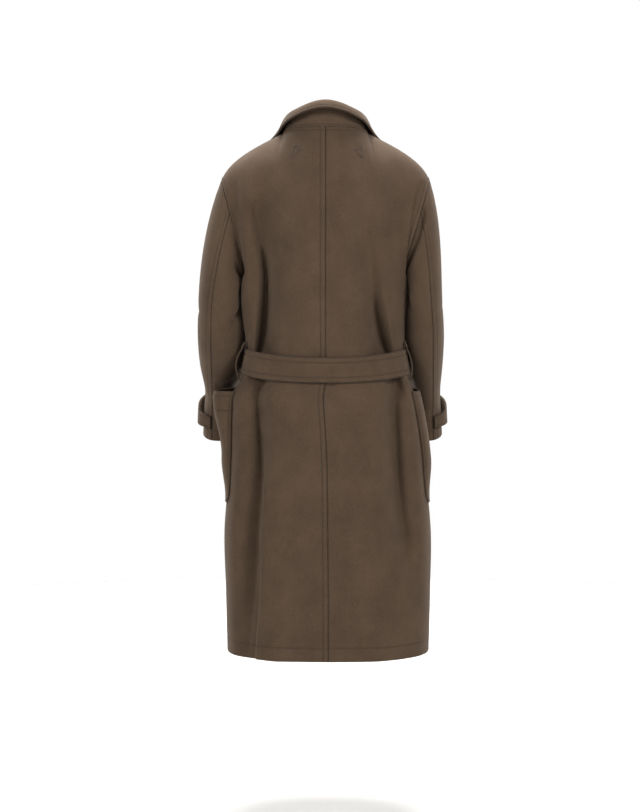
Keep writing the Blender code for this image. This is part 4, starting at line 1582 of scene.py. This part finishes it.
@dataclass
class CutPiece:
    """One cut and sewn piece of cloth, named as its solid, which it replaces."""

    name: str
    face: Face
    out: float
    flat: tuple[float, float]
    area: float
    across: tuple[float, float] = WHOLE
    along: tuple[float, float] = WHOLE
    thickness: float = CLOTH
    lines: tuple[Topstitch, ...] = ()
    tacks: tuple[tuple[tuple[float, float], ...], ...] = ()
    step: float = 0.0045
    row_step: float = 0.0060
    edge: float = 0.0030
    hold: Hold = Hold.HUNG
    closed: bool = False
    # Painted shade along the rounded edges
    edge_press: float = 0.55
    creases: tuple[Crease, ...] = ()
    crease_scale: tuple[float, float] = (1.0, 1.0)
    samples: int = 161
    distance: dict[Edge, Array] = field(default_factory=dict)

    def stops(self, edge: Edge) -> Array:
        """Distances of the fixed columns or rows beside an edge, closer on each stitched line.

        Args:
            edge: Edge of the grid.

        Returns:
            Distances in metres, in order.
        """
        places = [0.0, self.edge]
        for line in self.lines:
            if line.edge is edge:
                places += [line.inset + shift for shift in SEWING.beside]
        places = np.unique(np.round(places, 6))
        return places[np.concatenate(((True,), np.diff(places) > SEWING.least_gap))]

    def spread(self, total: Array, step: float, first: Edge, last: Edge) -> Array:
        """Distances across each run: fixed ones at both edges and even ones between them.

        Args:
            total: Length of each run.
            step: Widest step between the edges.
            first: Edge at the start of the runs.
            last: Edge at their end.

        Returns:
            Distances along each run.
        """
        start, end = self.stops(first), self.stops(last)
        room = total - start[-1] - end[-1]
        count = max(int(np.ceil(room.max() / step)), 2)
        shares = np.linspace(0.0, 1.0, count + 1)[1:-1]
        middle = start[-1] + shares[:, None] * room
        return np.concatenate((start[:, None] + 0.0 * total, middle, total - end[::-1, None]))

    def rows(self) -> Array:
        """Shares along the piece, from distances down its middle column.

        Returns:
            Shares of the rows.
        """
        low, high = self.along
        at = np.linspace(low, high, self.samples)
        run = run_length(self.face(np.full_like(at, np.mean(self.across)), at))
        if self.closed:
            return np.linspace(low, high, int(run[-1] / self.row_step), endpoint=False)
        return np.interp(self.spread(run[-1:], self.row_step, Edge.FOOT, Edge.TOP)[:, 0], run, at)

    def grid(self) -> tuple[Array, Array]:
        """Shares of the whole grid: rows first, then columns at fixed distances along each row.

        Returns:
            Shares across and along the piece at each point.
        """
        rows = self.rows()
        at = np.linspace(*self.across, self.samples)
        over, up = np.meshgrid(at, rows, indexing="ij")
        run = run_length(self.face(over, up))
        wanted = self.spread(run[-1], self.step, Edge.START, Edge.END)
        across = [np.interp(want, reached, at) for want, reached in zip(wanted.T, run.T)]
        return np.stack(across, axis=1), np.broadcast_to(rows, wanted.shape).copy()

    def measure(self, points: Array) -> None:
        """Keeps the distance of each grid point from each edge.

        Args:
            points: Grid of the outer side.
        """
        over = run_length(points)
        up = run_length(points.swapaxes(0, 1)).swapaxes(0, 1)
        self.distance = {
            Edge.START: over,
            Edge.END: over[-1:] - over,
            Edge.FOOT: up,
            Edge.TOP: up[:, -1:] - up,
        }

    def window(self, line: Topstitch, across: Array, along: Array) -> Array:
        """Share of a stitched line that is there, from 0 to 1, faded at the ends of its span.

        Args:
            line: Stitched line.
            across: Share across the piece.
            along: Share along the piece.

        Returns:
            Shares from 0 to 1.
        """
        share = along if line.edge in (Edge.START, Edge.END) else across
        low, high = line.span
        return ease((share - low) / SEWING.fade) * ease((high - share) / SEWING.fade)

    def relief(self, across: Array, along: Array, under: bool) -> tuple[Array, Array]:
        """Trenches and puffs of the sewing on one side, and the painted shade along its lines.

        The trench is -depth * exp(-(d / width)^2) round each line, and the puff is a half sine
        between the edge and the line.

        Args:
            across: Share across the piece.
            along: Share along the piece.
            under: Whether the under side is meant.

        Returns:
            Push in metres, and the pressed share.
        """
        push, press = np.zeros(across.shape), np.zeros(across.shape)
        for line in self.lines:
            if line.under is not under:
                continue
            distance = self.distance[line.edge]
            there = self.window(line, across, along)
            beside = distance - line.inset
            push -= SEWING.trench * there * np.exp(-((beside / SEWING.trench_width) ** 2))
            push += line.puff * there * np.sin(np.pi * np.clip(distance / line.inset, 0.0, 1.0))
            # Painted shade along each stitched line, where its trench lies
            dark = SEWING.press * there * np.exp(-((beside / SEWING.painted_shade_width) ** 2))
            press = np.maximum(press, dark)
        return push, press

    def path(
        self, line: Topstitch, points: Array, out: Array, across: Array, along: Array
    ) -> tuple[Array, Array]:
        """Points and normals of the shown side where a stitched line crosses the grid.

        Args:
            line: Stitched line.
            points: Points of the shown side.
            out: Normals of the shown side.
            across: Share across the piece.
            along: Share along the piece.

        Returns:
            Points and normals along the line.
        """
        gap = self.distance[line.edge] - line.inset
        there = self.window(line, across, along)
        if line.edge in (Edge.FOOT, Edge.TOP):
            gap, there, points, out = (grid.swapaxes(0, 1) for grid in (gap, there, points, out))
        if line.edge in (Edge.END, Edge.TOP):
            gap, there, points, out = (grid[::-1] for grid in (gap, there, points, out))
        after = np.clip((gap < 0.0).sum(axis=0), 1, len(gap) - 1)
        column = np.arange(gap.shape[1])
        low, high = gap[after - 1, column], gap[after, column]
        share = np.clip(-low / np.maximum(high - low, TINY), 0.0, 1.0)[:, None]
        kept = there[after, column] > SEWING.least_there
        path = points[after - 1, column] * (1.0 - share) + points[after, column] * share
        return path[kept], out[after, column][kept]

    def tack(
        self, corners: tuple[tuple[float, float], ...], points: Array, out: Array
    ) -> tuple[Array, Array]:
        """Points and normals of a tack's outline, set on the tangent plane of the nearest point.

        Args:
            corners: Corners of the tack as x and z, in order.
            points: Points of the shown side.
            out: Normals of the shown side.

        Returns:
            Points and normals along the closed outline.
        """
        ring = np.array(corners + corners[:1])
        run = run_length(ring)
        at = np.linspace(0.0, run[-1], int(run[-1] / SEWING.tack_step))
        x, z = (np.interp(at, run, column) for column in ring.T)
        near = points[..., 1].ravel() > 0.0
        places, ways = points.reshape(-1, 3)[near], out.reshape(-1, 3)[near]
        apart = (places[:, 0] - x[:, None]) ** 2 + (places[:, 2] - z[:, None]) ** 2
        nearest = np.argmin(apart, axis=1)
        place, way = places[nearest], ways[nearest]
        rise = way[:, 0] * (x - place[:, 0]) + way[:, 2] * (z - place[:, 2])
        return point(x, place[:, 1] - rise / way[:, 1], z), way

    def even(self, out: Array) -> Array:
        """Normals, with each one that stands out by over 60 degrees put to its neighbours' mean.

        Args:
            out: Normals of the grid.

        Returns:
            Normals of length one.
        """
        padded = np.pad(out, ((1, 1), (1, 1), (0, 0)), "edge")
        around = unit(padded[:-2, 1:-1] + padded[2:, 1:-1] + padded[1:-1, :-2] + padded[1:-1, 2:])
        cosine = (out * around).sum(axis=-1, keepdims=True)
        return np.where(cosine < SEWING.odd_cosine, around, out)

    def build(
        self, cloth: bpy.types.Material, thread: SewingThread, thread_material: bpy.types.Material
    ) -> None:
        """Makes the piece and its sewing, fixes them to the coat's body and hides its solid.

        Args:
            cloth: Finish of the cloth.
            thread: Thread of the sewing.
            thread_material: Finish of the thread.
        """
        across, along = self.grid()
        outside = self.face(across, along)
        out = self.even(normals(self.face, across, along, self.out))
        self.measure(outside)
        push = np.zeros(across.shape)
        for crease in self.creases:
            push += crease.push(across, along, self.crease_scale)
        outside = outside + push[..., None] * out
        # Each side gets its sewing's relief and its painted shade
        sides, painted_shades = [], []
        bare_sides = (outside, out), (outside - self.thickness * out, -out)
        for under, (grid, way) in zip((False, True), bare_sides):
            relief, press = self.relief(across, along, under)
            sides.append((grid + relief[..., None] * way, way))
            painted_shades.append(press)
        points, quads, shares = round_wall(
            sides[0][0], sides[1][0], tuple(painted_shades), self.closed, self.edge_press
        )
        piece = add_object(self.name + "_cloth", points, quads, shares)
        piece.data.materials.append(cloth)
        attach(piece, BODY)
        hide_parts(self.name)
        runs = [self.path(line, *sides[line.under], across, along) for line in self.lines]
        runs = [thread.stitches(*run) for run in runs if len(run[0]) >= SEWING.least_points]
        runs += [thread.raised().stitches(*self.tack(corners, *sides[0])) for corners in self.tacks]
        if runs:
            starts = np.cumsum([0] + [len(run[0]) for run in runs[:-1]])
            sewing = add_object(
                self.name + "_sewing",
                np.concatenate([run[0] for run in runs]),
                np.concatenate([run[1] + start for run, start in zip(runs, starts)]),
            )
            sewing.data.materials.append(thread_material)
            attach(sewing, BODY)
        rising = outside[1:, 1:] - outside[:-1, :-1]
        falling = outside[1:, :-1] - outside[:-1, 1:]
        area = np.linalg.norm(np.cross(rising, falling), axis=-1).sum() / 2.0
        LOG.info(
            "%s: %d faces, %d stitch faces, area %.4f, size %.3f x %.3f",
            self.name,
            len(quads),
            sum(len(run[1]) for run in runs),
            area,
            self.distance[Edge.START][-1].max(),
            self.distance[Edge.FOOT][:, -1].max(),
        )


@dataclass
class Coat:
    """The whole coat: its forms, its finishes and its cut pieces."""

    cloth: Melton = Melton()
    thread: SewingThread = SewingThread()
    body: BodyForm = BodyForm()
    seam_inset: float = 0.0115
    neck_inset: float = 0.0105
    hem_inset: float = 0.031
    cuff_inset: float = 0.027
    edge_inset: float = 0.009
    fine_inset: float = 0.006
    leaf_inset: float = 0.0065
    belt_inset: float = 0.012
    mouth_insets: tuple[float, float] = (0.012, 0.046)
    seam_puff: float = 0.0008
    armhole_row: float = 0.03
    lapel_starts: tuple[float, float] = (0.0446, 0.0892)
    collar_start: float = -0.025
    collar_wall: float = 0.0045
    belt_turns: tuple[float, float] = (-90.0, 270.0)
    # Painted shade along the pockets' edges, weaker than on the other pieces
    pocket_press: float = 0.1
    sleeve_scale: tuple[float, float] = (0.43, 0.80)

    def armhole_line(self) -> Topstitch:
        """Sewing beside the armhole of a back or front."""
        return Topstitch(Edge.END, self.seam_inset, (self.armhole_row, np.inf), self.seam_puff)

    def backs(self) -> Iterable[CutPiece]:
        """Two halves of the back. The left one carries the centre seam's topstitching.

        Returns:
            The pieces.
        """
        for hand in Hand:
            neck = (-np.inf, self.body.neck_share)
            lines = [
                Topstitch(Edge.FOOT, self.hem_inset),
                self.armhole_line(),
                Topstitch(Edge.TOP, self.neck_inset, neck, self.seam_puff),
            ]
            if hand is Hand.LEFT:
                lines.append(Topstitch(Edge.START, self.seam_inset, puff=self.seam_puff))
            yield CutPiece(
                f"back_{hand.word}",
                partial(self.body.back, hand),
                -hand.value,
                *FLATS["back"],
                along=WHOLE_PANEL,
                lines=tuple(lines),
                tacks=TACKS[hand],
                step=0.003,
                row_step=0.007,
            )

    def fronts(self) -> Iterable[CutPiece]:
        """Two fronts, stitched along the free edge and the hem.

        Returns:
            The pieces.
        """
        for hand in Hand:
            yield CutPiece(
                f"front_{hand.word}",
                partial(self.body.front, hand),
                hand.value,
                *FLATS["front"],
                along=WHOLE_PANEL,
                lines=(
                    Topstitch(Edge.FOOT, self.hem_inset),
                    Topstitch(Edge.START, self.edge_inset, (-np.inf, self.body.break_row)),
                    self.armhole_line(),
                ),
            )

    def lapels(self) -> Iterable[CutPiece]:
        """Two lapels that turn back over the fronts, stitched along their free edges.

        Returns:
            The pieces.
        """
        roll = RollForm(self.body)
        edges = (Edge.END, Edge.TOP)
        for hand in Hand:
            yield CutPiece(
                f"lapel_{hand.word}",
                partial(roll.lapel, hand),
                -hand.value,
                *FLATS["lapel"],
                along=(hand.pick(self.lapel_starts), 1.0),
                lines=tuple(Topstitch(edge, self.edge_inset, under=True) for edge in edges),
                step=0.003,
                row_step=0.005,
                hold=Hold.FOLDED,
            )

    def collar(self) -> Iterable[CutPiece]:
        """Collar that stands round the neck with its leaf turned out.

        Returns:
            The piece.
        """
        yield CutPiece(
            "collar",
            RollForm(self.body).collar,
            1.0,
            *FLATS["collar"],
            across=(self.collar_start, 1.0),
            along=WHOLE_PANEL,
            thickness=self.collar_wall,
            lines=(
                Topstitch(Edge.START, self.fine_inset),
                Topstitch(Edge.END, self.leaf_inset, under=True),
            ),
            step=0.003,
            row_step=0.004,
            hold=Hold.FOLDED,
        )

    def sleeves(self) -> Iterable[CutPiece]:
        """Upper and under sleeves and the cuff straps.

        Returns:
            The pieces.
        """
        form = SleeveForm(self.body)
        back_seam = Topstitch(Edge.START, self.seam_inset, puff=self.seam_puff)
        parts = {
            "sleeve_upper": ((form.back_seam, form.front_seam), (back_seam,)),
            "sleeve_under": ((form.front_seam - 1.0, form.back_seam), ()),
        }
        for hand in Hand:
            for part, (span, seams) in parts.items():
                yield CutPiece(
                    f"{part}_{hand.word}",
                    partial(form.sleeve, hand),
                    hand.value,
                    *FLATS[part],
                    across=span,
                    lines=(Topstitch(Edge.TOP, self.cuff_inset), *seams),
                    creases=SLEEVE_CREASES[hand],
                    crease_scale=self.sleeve_scale,
                )
            yield CutPiece(
                f"cuff_strap_{hand.word}",
                partial(form.strap, hand),
                hand.value,
                *FLATS["cuff_strap"],
                thickness=form.strap_wall,
                lines=tuple(Topstitch(edge, self.fine_inset) for edge in (Edge.START, Edge.END)),
                step=0.003,
                row_step=0.003,
                hold=Hold.STRETCHED,
            )

    def pockets(self) -> Iterable[CutPiece]:
        """Patch pockets, stitched round their sides and across their hemmed mouths.

        Returns:
            The pieces.
        """
        form = PocketForm(self.body)
        insets = [(edge, self.fine_inset) for edge in (Edge.START, Edge.END, Edge.FOOT)]
        insets += [(Edge.TOP, inset) for inset in self.mouth_insets]
        for hand in Hand:
            yield CutPiece(
                f"pocket_{hand.word}",
                partial(form.pocket, hand),
                -hand.value,
                *FLATS["pocket"],
                lines=tuple(Topstitch(edge, inset) for edge, inset in insets),
                step=0.004,
                row_step=0.004,
                edge_press=self.pocket_press,
            )

    def belt(self) -> Iterable[CutPiece]:
        """Belt band, its two hanging ends and the side loops.

        Returns:
            The pieces.
        """
        form = BeltForm(self.body)
        edges = tuple(Topstitch(edge, self.belt_inset) for edge in (Edge.START, Edge.END))
        yield CutPiece(
            "belt_band",
            form.band,
            1.0,
            *FLATS["belt_band"],
            along=self.belt_turns,
            thickness=form.wall,
            lines=edges,
            hold=Hold.STRETCHED,
            closed=True,
        )
        for hand in Hand:
            length = hand.pick(form.end_lengths)
            yield CutPiece(
                f"belt_end_{hand.word}",
                partial(form.end, hand),
                1.0,
                (form.width, length),
                form.width * length,
                thickness=form.wall,
                lines=edges + (Topstitch(Edge.FOOT, self.belt_inset),),
            )
            yield CutPiece(
                f"belt_loop_{hand.word}",
                partial(form.loop, hand),
                -hand.value,
                *FLATS["belt_loop"],
                thickness=form.loop_wall,
                step=0.0025,
                row_step=0.0025,
                edge=0.002,
                hold=Hold.STRETCHED,
            )

    def knot(self, cloth: bpy.types.Material) -> None:
        """Knot of the belt, as one closed padded piece.

        Args:
            cloth: Finish of the cloth.
        """
        form = BeltForm(self.body)
        points, groove = form.knot()
        index = np.arange(groove.size).reshape(groove.shape)
        ring = np.concatenate((index, index[:1]))
        corners = (ring[:-1, :-1], ring[:-1, 1:], ring[1:, 1:], ring[1:, :-1])
        quads = np.stack(corners, axis=-1).reshape(-1, 4)
        # Painted shade in the knot's grooves, as strong as they are deep
        press = np.clip(groove, 0.0, 1.0).ravel() * form.knot_press
        knot = add_object("belt_knot_cloth", points.reshape(-1, 3), quads, press)
        knot.data.materials.append(cloth)
        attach(knot, BODY)
        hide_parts("belt_knot")
        LOG.info("belt_knot: %d faces", len(quads))

    def build(self) -> None:
        """Makes every piece in the order in which a coat is sewn."""
        cloth, thread = self.cloth.material(), self.thread.material()
        groups = (self.backs, self.fronts, self.lapels, self.collar)
        for group in (*groups, self.sleeves, self.pockets, self.belt):
            for piece in group():
                piece.build(cloth, self.thread, thread)
        self.knot(cloth)


@dataclass(frozen=True)
class Studio:
    """Plain pale floor, soft lights and the camera at the photograph's height and angle."""

    floor_height: float = -1.56
    floor_radius: float = 3.2
    floor_middle: float = 0.0005
    floor_sides: int = 96
    floor_roughness: float = 0.9
    floor_colour: str = "#c4c3c1"
    sky_colour: str = "#ffffff"
    horizon_strength: float = 1.0
    ceiling_strength: float = 0.1
    ceiling_rise: tuple[float, float] = (0.11, 0.34)
    camera_place: tuple[float, float, float] = (0.0125, 5.0, -0.2)
    camera_tilt: float = -4.95
    camera_angle: float = 20.98
    lights: Table = Table(
        "x y z size energy aim_z",
        (-3.2, 3.6, 2.0, 1.8, 217.0, -0.6),
        (3.2, 3.4, 1.6, 2.0, 149.5, -0.6),
        (0.0, -0.9, 3.0, 2.2, 328.0, -0.2),
        (3.2, -3.6, 2.0, 1.8, 217.0, -0.6),
        (-3.2, -3.4, 1.6, 2.0, 149.5, -0.6),
    )

    def floor(self) -> None:
        """Pale floor far below the hem."""
        turn = np.linspace(0.0, 2.0 * np.pi, self.floor_sides, endpoint=False)
        rings = np.array((self.floor_middle, 1.0))[:, None] * self.floor_radius
        points = point(rings * np.cos(turn), rings * np.sin(turn), self.floor_height)
        inner = np.arange(len(turn))
        outer = inner + len(turn)
        quads = np.stack((inner, outer, np.roll(outer, -1), np.roll(inner, -1)), axis=-1)
        floor = add_object("studio_floor", points.reshape(-1, 3), quads)
        material, tree, shader = add_material("matte_studio_paint")
        sockets = {"Base Color": linear(self.floor_colour), "Roughness": self.floor_roughness}
        set_sockets(tree, shader, sockets)
        floor.data.materials.append(material)

    def light(self) -> None:
        """White walls under a darker ceiling, and large soft lights."""
        world = bpy.data.worlds.new("studio")
        world.use_nodes = True
        tree = world.node_tree
        sky = tree.nodes["Background"]
        way = add_node(tree, "ShaderNodeTexCoord").outputs["Generated"]
        rise = add_node(tree, "ShaderNodeSeparateXYZ", sockets={"Vector": way}).outputs["Z"]
        low, high = self.ceiling_rise
        strength = add_node(
            tree,
            "ShaderNodeMapRange",
            sockets={
                "Value": rise,
                "From Min": low,
                "From Max": high,
                "To Min": self.horizon_strength,
                "To Max": self.ceiling_strength,
            },
        ).outputs["Result"]
        set_sockets(tree, sky, {"Color": linear(self.sky_colour), "Strength": strength})
        bpy.context.scene.world = world
        for index, row in enumerate(self.lights.rows()):
            data = bpy.data.lights.new(f"softbox_{index}", "AREA")
            data.shape = "DISK"
            data.size, data.energy = row["size"], row["energy"]
            lamp = bpy.data.objects.new(data.name, data)
            place = np.array((row["x"], row["y"], row["z"]))
            lamp.location = place
            way = np.array((0.0, 0.0, row["aim_z"])) - place
            tilt = np.arctan2(np.hypot(way[0], way[1]), -way[2])
            lamp.rotation_euler = (tilt, 0.0, np.arctan2(way[1], way[0]) - np.pi / 2.0)
            bpy.context.scene.collection.objects.link(lamp)

    def camera(self) -> None:
        """Camera behind the coat, looking a little down."""
        data = bpy.data.cameras.new("camera")
        data.sensor_fit = "VERTICAL"
        data.angle = np.radians(self.camera_angle)
        camera = bpy.data.objects.new("camera", data)
        camera.location = self.camera_place
        camera.rotation_euler = (np.radians(90.0 + self.camera_tilt), 0.0, np.pi)
        bpy.context.scene.collection.objects.link(camera)
        bpy.context.scene.camera = camera

    def build(self) -> None:
        """Sets up the whole studio."""
        self.floor()
        self.light()
        self.camera()
        bpy.context.scene.view_settings.view_transform = "Standard"


def main() -> None:
    """Loads the frame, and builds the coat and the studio."""
    logging.basicConfig(level=logging.INFO, format="%(name)s: %(message)s")
    for old in list(bpy.data.objects):
        bpy.data.objects.remove(old)
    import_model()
    Studio().build()
    Coat().build()


if __name__ == "__main__":
    main()
